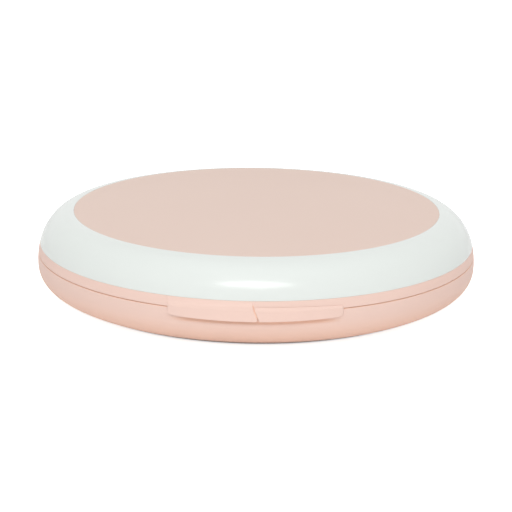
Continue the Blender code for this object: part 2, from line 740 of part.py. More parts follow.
def main():
    clear_scene()
    parts = new_group("contact_lens_case")
    guides = new_group("cutters")
    finishes = {name: new_finish(name) for name in FINISHES}

    def finish(thing, name):
        thing.data.materials.clear()
        thing.data.materials.append(finishes[name])
        return thing

    finish(make_base_shell(parts, guides), "blush_satin")
    finish(make_hinge_pin(parts), "steel")
    lid = [finish(make_lid_frame(parts, guides), "blush_satin"),
           finish(make_lid_cover_ring(parts), "white_gloss"),
           finish(make_lid_top_plate(parts), "blush_disc"),
           finish(make_mirror_pad(parts), "foam_grey"),
           finish(make_mirror(parts), "mirror_silver")]
    carry("lid_hinge_axis", (0.0, HINGE_Y, HINGE_Z), lid, parts)

    finish(make_tray(parts, guides), "white_satin")
    finish(make_lens_case_body(parts, guides), "white_gloss")
    for side, word in SIDES:
        finish(make_cap_seal(side, word, parts), "silicone")
        finish(make_cap(side, word, parts, guides), "blush_satin")

    for side, word in ((-1, "front"), (1, "back")):
        blade = finish(make_tweezer_blade(side, word, parts), "steel")
        tip = finish(make_tweezer_tip(side, word, parts, guides), "silicone")
        carry(f"tweezer_{word}_axis", (TWEEZER_X, TWEEZER_Y, BLADE_LOW), [blade, tip], parts)
    finish(make_lifter_stick(parts), "blush_satin")
    finish(make_lifter_cup(parts), "silicone")


main()
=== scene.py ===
# %% [markdown]
# # A round contact lens case
# The object is a clamshell travel case: a pink bowl, a hinged lid with a glossy white shoulder
# ring and a matt pink disc, and inside a mirror, a tray, a screw-cap lens case and two small tools.
# The imported model is loaded first and stays as it is. Most pieces made below are laid over one of
# its nodes, in the same metres, and ride on its moving bodies; the tweezers' steel blades ride on none.

# %% Load the frame
import json
from math import asin, cos, pi, radians, sin

import bmesh
import bpy
from mathutils import Matrix, Vector

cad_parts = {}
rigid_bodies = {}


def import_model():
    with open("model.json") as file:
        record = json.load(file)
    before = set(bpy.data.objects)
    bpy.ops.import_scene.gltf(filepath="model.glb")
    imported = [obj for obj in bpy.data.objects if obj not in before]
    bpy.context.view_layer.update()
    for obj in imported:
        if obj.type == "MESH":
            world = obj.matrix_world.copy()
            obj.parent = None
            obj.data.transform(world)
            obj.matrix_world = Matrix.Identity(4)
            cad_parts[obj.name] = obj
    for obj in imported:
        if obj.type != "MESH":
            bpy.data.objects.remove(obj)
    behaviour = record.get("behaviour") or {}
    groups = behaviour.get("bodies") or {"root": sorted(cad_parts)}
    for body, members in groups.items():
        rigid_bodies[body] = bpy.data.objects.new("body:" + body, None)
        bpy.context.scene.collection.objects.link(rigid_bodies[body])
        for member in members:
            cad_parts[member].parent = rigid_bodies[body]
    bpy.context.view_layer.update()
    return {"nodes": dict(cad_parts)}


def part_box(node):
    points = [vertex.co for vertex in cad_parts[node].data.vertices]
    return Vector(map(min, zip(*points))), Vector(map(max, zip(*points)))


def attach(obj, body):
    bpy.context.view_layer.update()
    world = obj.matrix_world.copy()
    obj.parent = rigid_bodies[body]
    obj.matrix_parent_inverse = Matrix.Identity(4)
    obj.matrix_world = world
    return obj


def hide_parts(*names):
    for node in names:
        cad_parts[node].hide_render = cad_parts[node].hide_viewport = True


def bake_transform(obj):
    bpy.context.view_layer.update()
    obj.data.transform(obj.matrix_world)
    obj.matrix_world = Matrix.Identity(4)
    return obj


for leftover in list(bpy.data.objects):
    bpy.data.objects.remove(leftover, do_unlink=True)

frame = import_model()

# %% [markdown]
# ## Sizes
# A maker of such a case thinks in millimetres, so all shapes below are drawn in millimetres and
# scaled once, when a mesh is made. The main sizes are read from the frame's boxes. The few that a
# box can't tell, such as the height of the waist, are the same driving sizes as the solids have.

# %% Read sizes from the frame
MM = 0.001


def box_mm(node):
    low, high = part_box(node)
    return low / MM, high / MM


GAP = 0.3
CASE_RADIUS = box_mm("base_shell")[1].x
LIP_TOP = box_mm("base_shell")[1].z
SHOULDER_TOP = box_mm("lid_cover_ring")[1].z
DISC_RADIUS = box_mm("lid_top_plate")[1].x + GAP
CROWN_TOP = box_mm("lid_top_plate")[1].z
PLATE_LOW = box_mm("lid_top_plate")[0].z
WAIST_HEIGHT = 7.26
BASE_RIM = 9.76
LID_RIM = 9.84
BAND_TOP = 12.2
RING_THICKNESS = 1.6
print(f"case {2 * CASE_RADIUS:.1f} mm across, {CROWN_TOP:.1f} mm high")

# %% [markdown]
# ## Skins over rings
# Nearly everything here is round, so one way of building serves for almost all pieces: a list of
# rings of points, each ring joined to the next by a band of faces. A turned piece has circles for
# its rings, a pocket has slots, a tweezer tip has small rounded rectangles. A ring of one point
# closes the skin. Blender's Screw modifier could turn the circles, but not a ring that changes its
# shape on the way round, which the thumb tabs need.

# %% Helpers for outlines
ROUND_STEPS = 224


def arc(centre, radius, start, end, count):
    """Points along an arc, both ends included; angles in radians."""
    points = []
    for i in range(count):
        angle = start + (end - start) * i / (count - 1)
        points.append((centre[0] + radius * cos(angle), centre[1] + radius * sin(angle)))
    return points


def circle(radius, steps=ROUND_STEPS, centre=(0.0, 0.0)):
    """Points all the way round, the last of them a step short of the first."""
    return arc(centre, radius, 0.0, 2 * pi * (steps - 1) / steps, steps)


def rounded(corners, steps=5):
    """A line through corners of (x, y, fillet), each fillet a small curve between its neighbours."""
    line = []
    for i, (x, y, fillet) in enumerate(corners):
        if fillet == 0.0:
            line.append((x, y))
            continue
        corner = Vector((x, y))
        before = corner - Vector(corners[i - 1][:2])
        after = Vector(corners[(i + 1) % len(corners)][:2]) - corner
        entry = corner - before.normalized() * fillet
        leave = corner + after.normalized() * fillet
        for step in range(steps + 1):
            t = step / steps
            point = entry * (1 - t) ** 2 + corner * 2 * t * (1 - t) + leave * t ** 2
            line.append((point.x, point.y))
    return line


def at_height(outline, height):
    """An outline of (x, y) points lifted to a height."""
    return [(x, y, height) for x, y in outline]


print("points of a full circle:", len(circle(1.0)))

# %% Helpers for skins
POLE = 0.001


def skin(rings, closed=False):
    """Points and faces over a list of rings; a ring of one point is a pole."""
    points = []
    faces = []
    starts = []
    for ring in rings:
        starts.append(len(points))
        points.extend(ring)
    pairs = list(zip(range(len(rings) - 1), range(1, len(rings))))
    if closed:
        pairs.append((len(rings) - 1, 0))
    for one, other in pairs:
        near, far = len(rings[one]), len(rings[other])
        count = max(near, far)
        for i in range(count):
            j = (i + 1) % count
            corners = [starts[one] + i % near, starts[one] + j % near,
                       starts[other] + j % far, starts[other] + i % far]
            faces.append(list(dict.fromkeys(corners)))
    return points, faces


def together(*skins):
    """Several skins as one."""
    points = []
    faces = []
    for more_points, more_faces in skins:
        start = len(points)
        points.extend(more_points)
        faces.extend([corner + start for corner in face] for face in more_faces)
    return points, faces


def turned(profile, steps=ROUND_STEPS, centre=(0.0, 0.0)):
    """A profile of (radius, height) points turned about an upright axis."""
    rings = []
    for radius, height in profile:
        outline = circle(radius, steps, centre) if radius > POLE else [centre]
        rings.append(at_height(outline, height))
    return skin(rings, closed=profile[0][0] > POLE)


print("faces of a turned tube:", len(turned([(1.0, 0.0), (2.0, 0.0), (2.0, 1.0), (1.0, 1.0)])[1]))

# %% Helpers for pieces
MERGE = 0.0005
pieces_made = []
finishes = {}


def mesh_of(name, shape, merge=0.0):
    """A mesh from a skin in millimetres, its faces turned outwards; points within merge become one."""
    points, faces = shape
    mesh = bpy.data.meshes.new(name)
    mesh.from_pydata([Vector(point) * MM for point in points], [], faces)
    form = bmesh.new()
    form.from_mesh(mesh)
    if merge:
        bmesh.ops.remove_doubles(form, verts=form.verts, dist=merge * MM)
    bmesh.ops.recalc_face_normals(form, faces=form.faces)
    form.to_mesh(mesh)
    form.free()
    return mesh


def add_object(name, data):
    """A new object in the scene."""
    thing = bpy.data.objects.new(name, data)
    bpy.context.scene.collection.objects.link(thing)
    return thing


def piece(name, shape, slot, body, *nodes, sharp=38):
    """Make a piece from a skin, with the finish of its slot; it rides on a body, if one is named."""
    mesh = mesh_of(name, shape, MERGE)
    mesh.shade_smooth()
    mesh.set_sharp_from_angle(angle=radians(sharp))
    mesh.materials.append(finishes[slot])
    thing = add_object(name, mesh)
    if body:
        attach(thing, body)
    if nodes:
        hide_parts(*nodes)
    pieces_made.append(name)
    print(f"piece {name}: {len(mesh.polygons)} faces")
    return thing


# %% [markdown]
# ## Writing shader maths
# A material is a tree of nodes, and sums are easier to read as Python than as boxes and wires. The
# class below wraps one socket. Adding or multiplying two of them adds a Math node, and `node` makes
# any other kind: its settings are set first, then the values or links of its sockets.

# %% A class for sockets
class Wire:
    """One output of a material's tree; arithmetic on it adds Math nodes."""

    def __init__(self, tree, socket=None):
        self.tree = tree
        self.socket = socket

    def node(self, kind, settings=None, sockets=None, out=0):
        """Add a node, set it up, feed its sockets and return one of its outputs."""
        made = self.tree.nodes.new(kind)
        for name, value in (settings or {}).items():
            setattr(made, name, value)
        for name, value in (sockets or {}).items():
            if isinstance(value, Wire):
                self.tree.links.new(value.socket, made.inputs[name])
            else:
                made.inputs[name].default_value = value
        return Wire(self.tree, made.outputs[out])

    def sum_up(self, operation, first, second):
        return self.node("ShaderNodeMath", {"operation": operation}, {0: first, 1: second})

    def __add__(self, other):
        return self.sum_up("ADD", self, other)

    def __sub__(self, other):
        return self.sum_up("SUBTRACT", self, other)

    def __mul__(self, other):
        return self.sum_up("MULTIPLY", self, other)

    def __rsub__(self, other):
        return self.sum_up("SUBTRACT", other, self)

    __radd__ = __add__
    __rmul__ = __mul__


# %% Helpers for finishes
def speckle(wire, scale, detail=2.0, stretch=(1.0, 1.0, 1.0)):
    """Noise from 0 to 1 in the piece's own space; scale counts grains per metre."""
    place = wire.node("ShaderNodeTexCoord", out="Object")
    if stretch != (1.0, 1.0, 1.0):
        place = wire.node("ShaderNodeMapping", sockets={"Vector": place, "Scale": stretch})
    return wire.node("ShaderNodeTexNoise", sockets={"Vector": place, "Scale": scale, "Detail": detail})


def blend_colour(wire, share, first, second):
    """A colour between two others, each of them three numbers or the outcome of another blend."""
    ends = [end if isinstance(end, Wire) else (*end, 1.0) for end in (first, second)]
    return wire.node("ShaderNodeMix", {"data_type": "RGBA"}, {0: share, 6: ends[0], 7: ends[1]}, out=2)


def relief(wire, height, depth):
    """A Bump node for a height from 0 to 1, depth in millimetres."""
    return wire.node("ShaderNodeBump", sockets={"Height": height, "Distance": depth * MM, "Strength": 1.0})


def new_finish(name, sockets, fixed=None):
    """A material, kept by name; sockets is a function of its first wire that gives what feeds the shader."""
    finish = bpy.data.materials.new(name)
    finish.use_nodes = True
    tree = finish.node_tree
    shader = tree.nodes["Principled BSDF"]
    for socket, value in (fixed or {}).items():
        shader.inputs[socket].default_value = value
    for socket, wire in sockets(Wire(tree)).items():
        tree.links.new(wire.socket, shader.inputs[socket])
    finishes[name] = finish
    print("finish:", name)


def linear(red, green, blue):
    """A colour as a screen shows it, from 0 to 255, in the light units that shaders use."""
    shares = (red / 255, green / 255, blue / 255)
    return tuple(s / 12.92 if s <= 0.04045 else ((s + 0.055) / 1.055) ** 2.4 for s in shares)


print("middle grey in light units:", [round(share, 3) for share in linear(128, 128, 128)])

# %% [markdown]
# ## Moulded plastics
# The bowl, the lid's band and the caps are one blush pink plastic with a satin skin: a very fine
# grain from the mould and a roughness that drifts a little. Low down its colour turns peachier, which
# is painted bounce light from the table. In the seam, in the tabs' split and under the tabs it has
# painted shade, a deeper warm pink: shadow alone would leave those fine lines grey, so they are found
# by their place and painted darker. The disc on the lid has a drier, paler skin. The shoulder ring is a cool
# white, polished so that it mirrors the lamp. Most finishes
# are noise at a real scale, fed to colour, roughness and bump, so one function makes them.

# %% Where shade and bounce light are painted into the pink
BELLY_SPAN = (1.5, 8.5)
RIM_SPAN = (55.2, 55.5)
SEAM_SPANS = ((9.62, 9.7), (9.98, 9.9))
SEAM_FRONT = (56.05, 55.88)
GROOVE_SPANS = ((6.7, 7.2), (7.76, 7.62))
GROOVE_ENDS = (20.0, 15.0)
SPLIT_SPANS = ((7.8, 7.9), (11.4, 11.2))
SPLIT_SIDES = (0.22, 0.08)
SPLIT_COURSE = ((11.2, -0.56), (10.15, -0.26), (7.83, 0.7))
FRONT_SPAN = (0.0, -10.0)


def coordinate(wire, axis):
    """How far along X, Y or Z a point lies, in metres."""
    place = wire.node("ShaderNodeTexCoord", out="Object")
    return wire.node("ShaderNodeSeparateXYZ", sockets={"Vector": place}, out=axis)


def rise(wire, value, span):
    """A smooth rise from 0 to 1 while a value crosses a span of millimetres, upwards or downwards."""
    return wire.node("ShaderNodeMapRange", {"interpolation_type": "SMOOTHSTEP"}, {
        "Value": value, "From Min": span[0] * MM, "From Max": span[1] * MM})


def within(wire, value, low_span, high_span):
    """1 between two spans, falling to 0 across each of them."""
    return rise(wire, value, low_span) * rise(wire, value, high_span)


def shifted(wire, value, span, ends):
    """A length that changes evenly between two ends while a value crosses a span, all in millimetres."""
    return wire.node("ShaderNodeMapRange", sockets={
        "Value": value, "From Min": span[0] * MM, "From Max": span[1] * MM,
        "To Min": ends[0] * MM, "To Max": ends[1] * MM})


def unsigned(wire):
    """A length without its sign."""
    return wire.node("ShaderNodeMath", {"operation": "ABSOLUTE"}, {0: wire})


def painted_shade_mask(wire):
    """1 where shade is painted: in the seam between lid and base, in the tabs' split and in the nail groove
    under them, else 0.
    """
    flat_place = wire.node("ShaderNodeVectorMath", {"operation": "MULTIPLY"}, {
        0: wire.node("ShaderNodeTexCoord", out="Object"), 1: (1.0, 1.0, 0.0)})
    radius = wire.node("ShaderNodeVectorMath", {"operation": "LENGTH"}, {0: flat_place}, out="Value")
    height = coordinate(wire, "Z")
    across = coordinate(wire, "X")
    (top, top_x), (ridge, ridge_x), (low, low_x) = SPLIT_COURSE
    split_x = shifted(wire, height, (top, ridge), (top_x, ridge_x))
    split_x += shifted(wire, height, (ridge, low), (0.0, low_x - ridge_x))
    seam = within(wire, height, *SEAM_SPANS) * rise(wire, radius, SEAM_FRONT)
    groove = within(wire, height, *GROOVE_SPANS) * rise(wire, unsigned(across), GROOVE_ENDS)
    split = within(wire, height, *SPLIT_SPANS) * rise(wire, unsigned(across - split_x), SPLIT_SIDES)
    in_front = rise(wire, coordinate(wire, "Y"), FRONT_SPAN)
    return rise(wire, radius, RIM_SPAN) * (seam + (groove + split) * in_front)


# %% Plastic finishes
BLUSH = (linear(241, 211, 199), linear(238, 206, 193))
# Painted bounce light: the warmer, peachier pink given to everything low down on the case.
BLUSH_PAINTED_BOUNCE = linear(247, 207, 187)
# Painted shade: the deeper warm pink put into the seam, the tabs' split and the groove under the tabs.
BLUSH_PAINTED_SHADE = linear(238, 196, 174)
DISC = (linear(229, 206, 194), linear(226, 202, 190))
ICE = (linear(229, 234, 230), linear(226, 231, 227))
CHALK = (linear(238, 237, 234), linear(233, 232, 228))


def grained(colours, drift, rough, grain, depth):
    """A skin between two colours; rough is (least, spread, noise), depth is that of the grain."""

    def sockets(wire):
        least, spread, noise = rough
        return {"Base Color": blend_colour(wire, speckle(wire, *drift), *colours),
                "Roughness": least + spread * speckle(wire, *noise),
                "Normal": relief(wire, speckle(wire, *grain), depth)}

    return sockets


def satin_pink(wire):
    sockets = grained(BLUSH, (30.0,), (0.46, 0.1, (140.0,)), (2600.0, 1.0), 0.004)(wire)
    # Painted bounce light: below BELLY_SPAN the pink blends to a peachier colour that stands in for light
    # thrown up from the table.
    above_belly = rise(wire, coordinate(wire, "Z"), BELLY_SPAN)
    wall = blend_colour(wire, above_belly, BLUSH_PAINTED_BOUNCE, sockets["Base Color"])
    # Painted shade: the seam, the tabs' split and the nail groove get a deeper, warmer pink.
    sockets["Base Color"] = blend_colour(wire, painted_shade_mask(wire), wall, BLUSH_PAINTED_SHADE)
    return sockets


dry_pink = grained(DISC, (22.0,), (0.52, 0.12, (3200.0, 2.0)), (3200.0, 2.0), 0.006)
polished_white = grained(ICE, (26.0,), (0.16, 0.04, (70.0,)), (45.0, 1.0), 0.01)
satin_white = grained(CHALK, (40.0,), (0.38, 0.12, (160.0,)), (2400.0, 1.0), 0.005)
new_finish("blush_satin", satin_pink, {"IOR": 1.46, "Specular IOR Level": 0.25})
new_finish("blush_disc", dry_pink, {"IOR": 1.42})
new_finish("white_gloss", polished_white, {"IOR": 1.49})
new_finish("white_satin", satin_white, {"IOR": 1.46})

# %% [markdown]
# ## Glass, steel and rubber
# Inside the lid is a silvered mirror with a few faint smears. The tweezers and the hinge pin are
# brushed steel: noise stretched along the blade gives the streaks. The tips, seals and suction cup
# are milky silicone that lets a little light in, and the mirror's pad is open foam.

# %% Finishes of the small pieces
SILVER = ((0.90, 0.92, 0.92), (0.86, 0.89, 0.89))
STEEL = ((0.66, 0.66, 0.67), (0.54, 0.54, 0.56))
STREAK = (60.0, 3.0, (1.0, 60.0, 60.0))
MILK = (linear(240, 238, 233), linear(229, 227, 220))
FOAM = (linear(160, 160, 160), linear(205, 205, 203))


def silvering(wire):
    smear = speckle(wire, 60.0, 4.0)
    return {"Base Color": blend_colour(wire, smear, *SILVER),
            "Roughness": 0.01 + 0.04 * smear}


def open_foam(wire):
    cells = wire.node("ShaderNodeTexVoronoi", sockets={
        "Vector": wire.node("ShaderNodeTexCoord", out="Object"), "Scale": 1800.0})
    return {"Base Color": blend_colour(wire, cells, *FOAM),
            "Roughness": 0.85 + 0.1 * cells,
            "Normal": relief(wire, cells, 0.1)}


brushed = grained(STEEL, STREAK, (0.2, 0.16, STREAK), STREAK, 0.006)
milky = grained(MILK, (220.0,), (0.42, 0.14, (2600.0,)), (2600.0,), 0.006)
new_finish("mirror_silver", silvering, {"Metallic": 1.0})
new_finish("steel", brushed, {"Metallic": 1.0})
new_finish("silicone", milky, {
    "IOR": 1.41, "Subsurface Weight": 0.25, "Subsurface Scale": 0.002})
new_finish("foam_grey", open_foam)

# %% [markdown]
# ## The shoulder and the belly
# Seen from the side, the case is a flattened egg. From the waist up the shoulder is nearly a quarter
# of an ellipse and ends level at the disc. From the waist down the belly is a fuller curve, which
# ends level just above the table, where the foot takes over. Both are superellipses: an exponent of
# 2 would be an ellipse, and a larger one fills out the corner. They are short formulas, so the
# pieces that share a curve meet on it exactly.

# %% Curves of the outside
FOOT_RADIUS = 45.4
BELLY_LOW = 0.35
BELLY_EXPONENT = 2.33
SHOULDER_EXPONENT = 2.07


def shoulder(height, inset=0.0):
    """Radius of the shoulder at a height, inset from the outside."""
    wide = CASE_RADIUS - DISC_RADIUS - inset
    tall = SHOULDER_TOP - WAIST_HEIGHT - inset
    level = min(1.0, (height - WAIST_HEIGHT) / tall)
    return DISC_RADIUS + wide * (1 - level ** SHOULDER_EXPONENT) ** (1 / SHOULDER_EXPONENT)


def on_shoulder(height, inset=0.0):
    """A point of the shoulder at a height."""
    return shoulder(height, inset), height


def shoulder_line(high, low, count, inset=0.0):
    """Points down the shoulder, closer together towards the top, where it bends most."""
    line = []
    for i in range(count):
        height = low + (high - low) * cos(pi / 2 * i / (count - 1))
        line.append(on_shoulder(height, inset))
    return line


def belly(turn):
    """A point of the bowl's outside, turn running from the waist at 0 to the foot at 1."""
    power = 2 / BELLY_EXPONENT
    radius = FOOT_RADIUS + (CASE_RADIUS - FOOT_RADIUS) * abs(cos(turn * pi / 2)) ** power
    return radius, WAIST_HEIGHT - (WAIST_HEIGHT - BELLY_LOW) * sin(turn * pi / 2) ** power


print(f"shoulder at the seam: {shoulder(BASE_RIM):.2f} mm, belly half way down: {belly(0.5)[0]:.2f} mm")

# %% [markdown]
# ## Thumb tabs that grow out of a turned skin
# At the front the case has two short tabs, side by side, that two thumbs push apart: the left one
# hangs from the lid, the right one stands up from the base. A tab could be a separate block, but
# then a hard line would show where it meets the round wall. Here the profile itself changes on the
# way round instead. Each ring knows where its points lie on the plain wall and where they lie on
# the tab, and every column of points has a share of the tab from 0 to 1. The columns lean so that
# the slanting split and the rounded lower corners follow them, and a tab is fullest at the split,
# so that the pair is a slim crescent from above. Under both tabs the bowl's wall is drawn in, which
# gives a nail something to catch and leaves a fine dark line below the tabs.

# %% Sizes of the tabs
TAB_LENGTH = CASE_RADIUS * radians(20.45)
TAB_RIDGE = (56.2, 10.15)
TAB_LOW = 7.83
TAB_REACH = 56.75
TAB_BACK = 56.1
TAB_TOP = 11.75
TAB_CREST = (0.26, 11.1)
TAB_FOOT = 6.3
END_FULLNESS = 0.4
END_SHIFT = ((TAB_FOOT, 0.0), (TAB_LOW, 0.3), (9.8, 0.0), (10.95, -0.3), (11.4, -0.55), (TAB_TOP, 0.0))
TAB_CORNER = 0.8
TAB_END = 0.45
CORNER_REACH = 5.0
UNDERSIDE = TAB_LOW + 0.02
GROOVE_TOP = (55.55, 7.75)
GROOVE_BEND = (55.7, 7.2)
GROOVE_FOOT = (CASE_RADIUS - 0.05, TAB_FOOT)
GROOVE_FADE = 6.0
SPLIT_GAP = 0.26
SPLIT_REACH = 9.0
SPLIT_LINE = ((53.5, -0.64), (55.1, -0.64), (56.2, -0.34), (56.75, 0.62))
SPLIT_EDGE = ((0.0, 0.0), (0.03, 0.6), (0.08, 0.88), (0.16, 0.97), (0.28, 1.0))
FACE_STEPS = 46
END_STEPS = 10
REST_STEPS = 210
print(f"each tab runs {TAB_LENGTH:.1f} mm round the case")

# %% Helpers for profiles and columns
def stepped(corners, counts):
    """Points along straight stretches between corners, so many to each stretch."""
    line = [corners[0]]
    for (x, y), (to_x, to_y), count in zip(corners, corners[1:], counts):
        for i in range(1, count + 1):
            line.append((x + (to_x - x) * i / count, y + (to_y - y) * i / count))
    return line


def eased(line, rounds):
    """The line with its corners worn round; its ends stay."""
    for _ in range(rounds):
        middle = [((a[0] + 2 * b[0] + c[0]) / 4, (a[1] + 2 * b[1] + c[1]) / 4)
                  for a, b, c in zip(line, line[1:], line[2:])]
        line = [line[0], *middle, line[-1]]
    return line


def tab_columns():
    """(distance from the split, share of the tab) for every column, right round the case."""
    columns = list(SPLIT_EDGE)
    start, end = SPLIT_EDGE[-1][0], TAB_LENGTH - TAB_END
    columns += [(start + (end - start) * i / FACE_STEPS, 1.0) for i in range(1, FACE_STEPS)]
    for i in range(END_STEPS + 1):
        turn = pi / 2 * i / END_STEPS
        columns.append((end + TAB_END * sin(turn), cos(turn)))
    rest = 2 * pi * CASE_RADIUS - TAB_LENGTH
    columns += [(TAB_LENGTH + rest * i / REST_STEPS, 0.0) for i in range(1, REST_STEPS)]
    return columns


def read_off(graph, place):
    """The value at a place on a graph of (place, value) points joined by straight lines."""
    for (near, value), (far, to_value) in zip(graph, graph[1:]):
        if place <= far:
            return value + (to_value - value) * max(0.0, place - near) / (far - near)
    return graph[-1][1]


def tent(distance, centre, reach):
    """1 at the centre, falling evenly to 0 at the reach."""
    return max(0.0, 1 - abs(distance - centre) / reach)


print("columns round a tabbed skin:", len(tab_columns()))

# %% Rings with a tab
def tabbed(plain, grown, side, grooved=None):
    """Rings between a plain profile and one with a tab; side is -1 for left and 1 for right.

    A grooved profile takes the place of the plain one under both tabs.
    """
    rings = []
    round_trip = 2 * pi * CASE_RADIUS
    columns = tab_columns()
    for wall, under, (tab_radius, tab_height) in zip(plain, grooved or plain, grown):
        under_base_tab = side > 0 and tab_height < UNDERSIDE
        split = read_off(SPLIT_LINE, TAB_REACH if under_base_tab else tab_radius)
        lean = side * split + SPLIT_GAP / 2
        drop = max(0.0, TAB_CORNER - max(0.0, tab_height - TAB_LOW))
        tuck = TAB_CORNER * (drop / TAB_CORNER) ** 3
        wall_there = shoulder(max(WAIST_HEIGHT, tab_height))
        end_shift = 0.0 if wall == (tab_radius, tab_height) else read_off(END_SHIFT, tab_height)
        ring = []
        for distance, share in columns:
            aside = min(distance, round_trip - distance)
            drawn_in = min(1.0, max(0.0, (TAB_LENGTH - aside) / GROOVE_FADE))
            radius = wall[0] + (under[0] - wall[0]) * drawn_in
            height = wall[1] + (under[1] - wall[1]) * drawn_in
            near_split = tent(aside, 0.0, SPLIT_REACH)
            near_end = tent(distance, TAB_LENGTH, CORNER_REACH)
            angle = (distance + lean * near_split - tuck * near_end) / CASE_RADIUS
            outward = min(1.0, distance / TAB_LENGTH) ** 2
            face_radius = min(tab_radius, TAB_BACK)
            face_radius += max(0.0, tab_radius - TAB_BACK) * (1 - (1 - END_FULLNESS) * outward)
            face_height = tab_height + end_shift * outward
            face_radius += shoulder(max(WAIST_HEIGHT, face_height)) - wall_there
            grown_out = share if tab_height > GROOVE_TOP[1] else 0.0
            r = radius + max(0.0, face_radius - radius) * grown_out
            z = height + (face_height - height) * grown_out
            ring.append((side * r * sin(angle), -r * cos(angle), z))
        rings.append(ring)
    return rings


def plain_rings(profile, side):
    """Rings of the same columns where the profile has no tab."""
    rings = []
    for radius, height in profile:
        if radius < POLE:
            rings.append([(0.0, 0.0, height)])
        else:
            rings += tabbed([(radius, height)], [(radius, height)], side)
    return rings


print("points of a plain ring:", len(plain_rings([(CASE_RADIUS, WAIST_HEIGHT)], 1)[0]))

# %% [markdown]
# ## The bowl
# The base is one moulding: a bowl with a flat foot, a lip that the lid closes over, the right thumb
# tab and a notch at the back for the lid's hinge. The tab stands a hair in front of the lid's band,
# so its top edge shows as a crisp line. The notch is cut with a Boolean.

# %% Bowl
SEAM_EDGE = 0.11
LIP_INNER = 52.7
LIP_OUTER = 53.9
FLOOR = 1.5
FLOOR_RADIUS = 51.3
RIM_INNER = 54.05
RIM_OUTER = 55.35
WALL_TOP = 8.3
SNAP_BEAD = ((0.0, 10.95, 0.0), (0.15, 10.65, 0.08), (0.0, 10.35, 0.0))
BASE_TAB_TOP = 10.95
BASE_TAB_PROUD = 0.1
BELLY_STEPS = 30
BELLY_START = 3
FOOT_OUTER = FOOT_RADIUS - 0.9
FOOT_INNER = FOOT_RADIUS - 2.6
FOOT_DRAFT = 0.1


def bead(radius):
    """Corners of the snap bead on an upright wall, from the top down."""
    return [(radius + out, height, fillet) for out, height, fillet in SNAP_BEAD]


bowl_inside = rounded([
    (0.0, FLOOR, 0.0), (FLOOR_RADIUS, FLOOR, 2.2), (LIP_INNER, LIP_TOP, 0.35), (LIP_OUTER, LIP_TOP, 0.35),
    *bead(LIP_OUTER), (LIP_OUTER, BASE_RIM, 0.12), (RIM_INNER, BASE_RIM, 0.0)])[:-1]
bowl_counts = (6, 9, 8, 24, 14, 8, 9)
nail_groove = [GROOVE_TOP, GROOVE_BEND, GROOVE_FOOT]
bowl_edge = BASE_RIM - SEAM_EDGE
bowl_rim = [(RIM_INNER, BASE_RIM), (RIM_OUTER, BASE_RIM), (shoulder(bowl_edge) - SEAM_EDGE, BASE_RIM),
            on_shoulder(bowl_edge), on_shoulder(WALL_TOP)]
bowl_waist = [on_shoulder(GROOVE_TOP[1]), (CASE_RADIUS, WAIST_HEIGHT), GROOVE_FOOT]
bowl_plain = eased(stepped(bowl_rim + bowl_waist, bowl_counts), rounds=2)
bowl_grooved = eased(stepped(bowl_rim + nail_groove, bowl_counts), rounds=2)
bowl_tab = eased(stepped([
    (RIM_INNER, BASE_RIM), (shoulder(BASE_RIM) + BASE_TAB_PROUD, BASE_RIM),
    (shoulder(BASE_TAB_TOP) + BASE_TAB_PROUD, BASE_TAB_TOP), TAB_RIDGE, (TAB_REACH, TAB_LOW),
    *nail_groove], bowl_counts), rounds=2)
bowl_outside = [belly(i / BELLY_STEPS) for i in range(BELLY_START, BELLY_STEPS + 1)]
bowl_outside += rounded([
    (FOOT_OUTER + FOOT_DRAFT, BELLY_LOW, 0.1), (FOOT_OUTER, 0.0, 0.1), (FOOT_INNER, 0.0, 0.1),
    (FOOT_INNER - FOOT_DRAFT, BELLY_LOW, 0.1), (0.0, BELLY_LOW, 0.0)])
bowl_rings = plain_rings(bowl_inside, 1) + tabbed(bowl_plain, bowl_tab, 1, bowl_grooved)
bowl_rings += plain_rings(bowl_outside, 1)
bowl = piece("bowl", skin(bowl_rings), "blush_satin", "base", "base_shell")

# %% Helpers for cutting
OVERSHOOT = 1.0


def prism(near, far):
    """A skin between two like outlines, with a face over each of them."""
    points, faces = skin([near, far])
    faces.append(list(range(len(near))))
    faces.append(list(range(len(near), 2 * len(near))))
    return points, faces


def along_x(outline, start, end):
    """A prism along X over an outline of (y, z) points."""
    return prism([(start, y, z) for y, z in outline], [(end, y, z) for y, z in outline])


def cut(target, name, shape):
    """Take a shape out of a piece with a Boolean; the cutter stays hidden."""
    cutter = add_object(name, mesh_of(name, shape))
    cutter.hide_render = True
    cutter.hide_viewport = True
    step = target.modifiers.new(name, "BOOLEAN")
    step.operation = "DIFFERENCE"
    step.solver = "EXACT"
    step.object = cutter
    print(f"cut {name} from {target.name}")


print("corners of a square prism:", len(along_x([(0, 0), (1, 0), (1, 1), (0, 1)], 0, 1)[0]))

# %% Notch for the lid's knuckle
HINGE_Y = 57.0
HINGE_Z = 8.6
BARREL_RADIUS = 2.3
LID_KNUCKLE_HALF = 6.0
ARM_NEAR = 54.1
ARM_FAR = 60.0

hinge_line = (HINGE_Y, HINGE_Z)
knuckle_room = circle(BARREL_RADIUS + GAP, steps=48, centre=hinge_line)
notch_half = LID_KNUCKLE_HALF + GAP
arm_top = LIP_TOP + OVERSHOOT
arm_room = [(ARM_NEAR, HINGE_Z), (ARM_FAR, HINGE_Z), (ARM_FAR, arm_top), (ARM_NEAR, arm_top)]
cut(bowl, "lid_knuckle_notch", along_x(knuckle_room, -notch_half, notch_half))
cut(bowl, "lid_arm_notch", along_x(arm_room, -notch_half, notch_half))

# %% [markdown]
# ## The lid's frame
# The lid's pink frame shows as a narrow band under the white ring, and as the left thumb tab that
# melts into that band without a line. Inside it is the lid's ceiling with a raised bezel round the
# mirror. Only its profile differs from the bowl's, so the same tabbed rings make it.

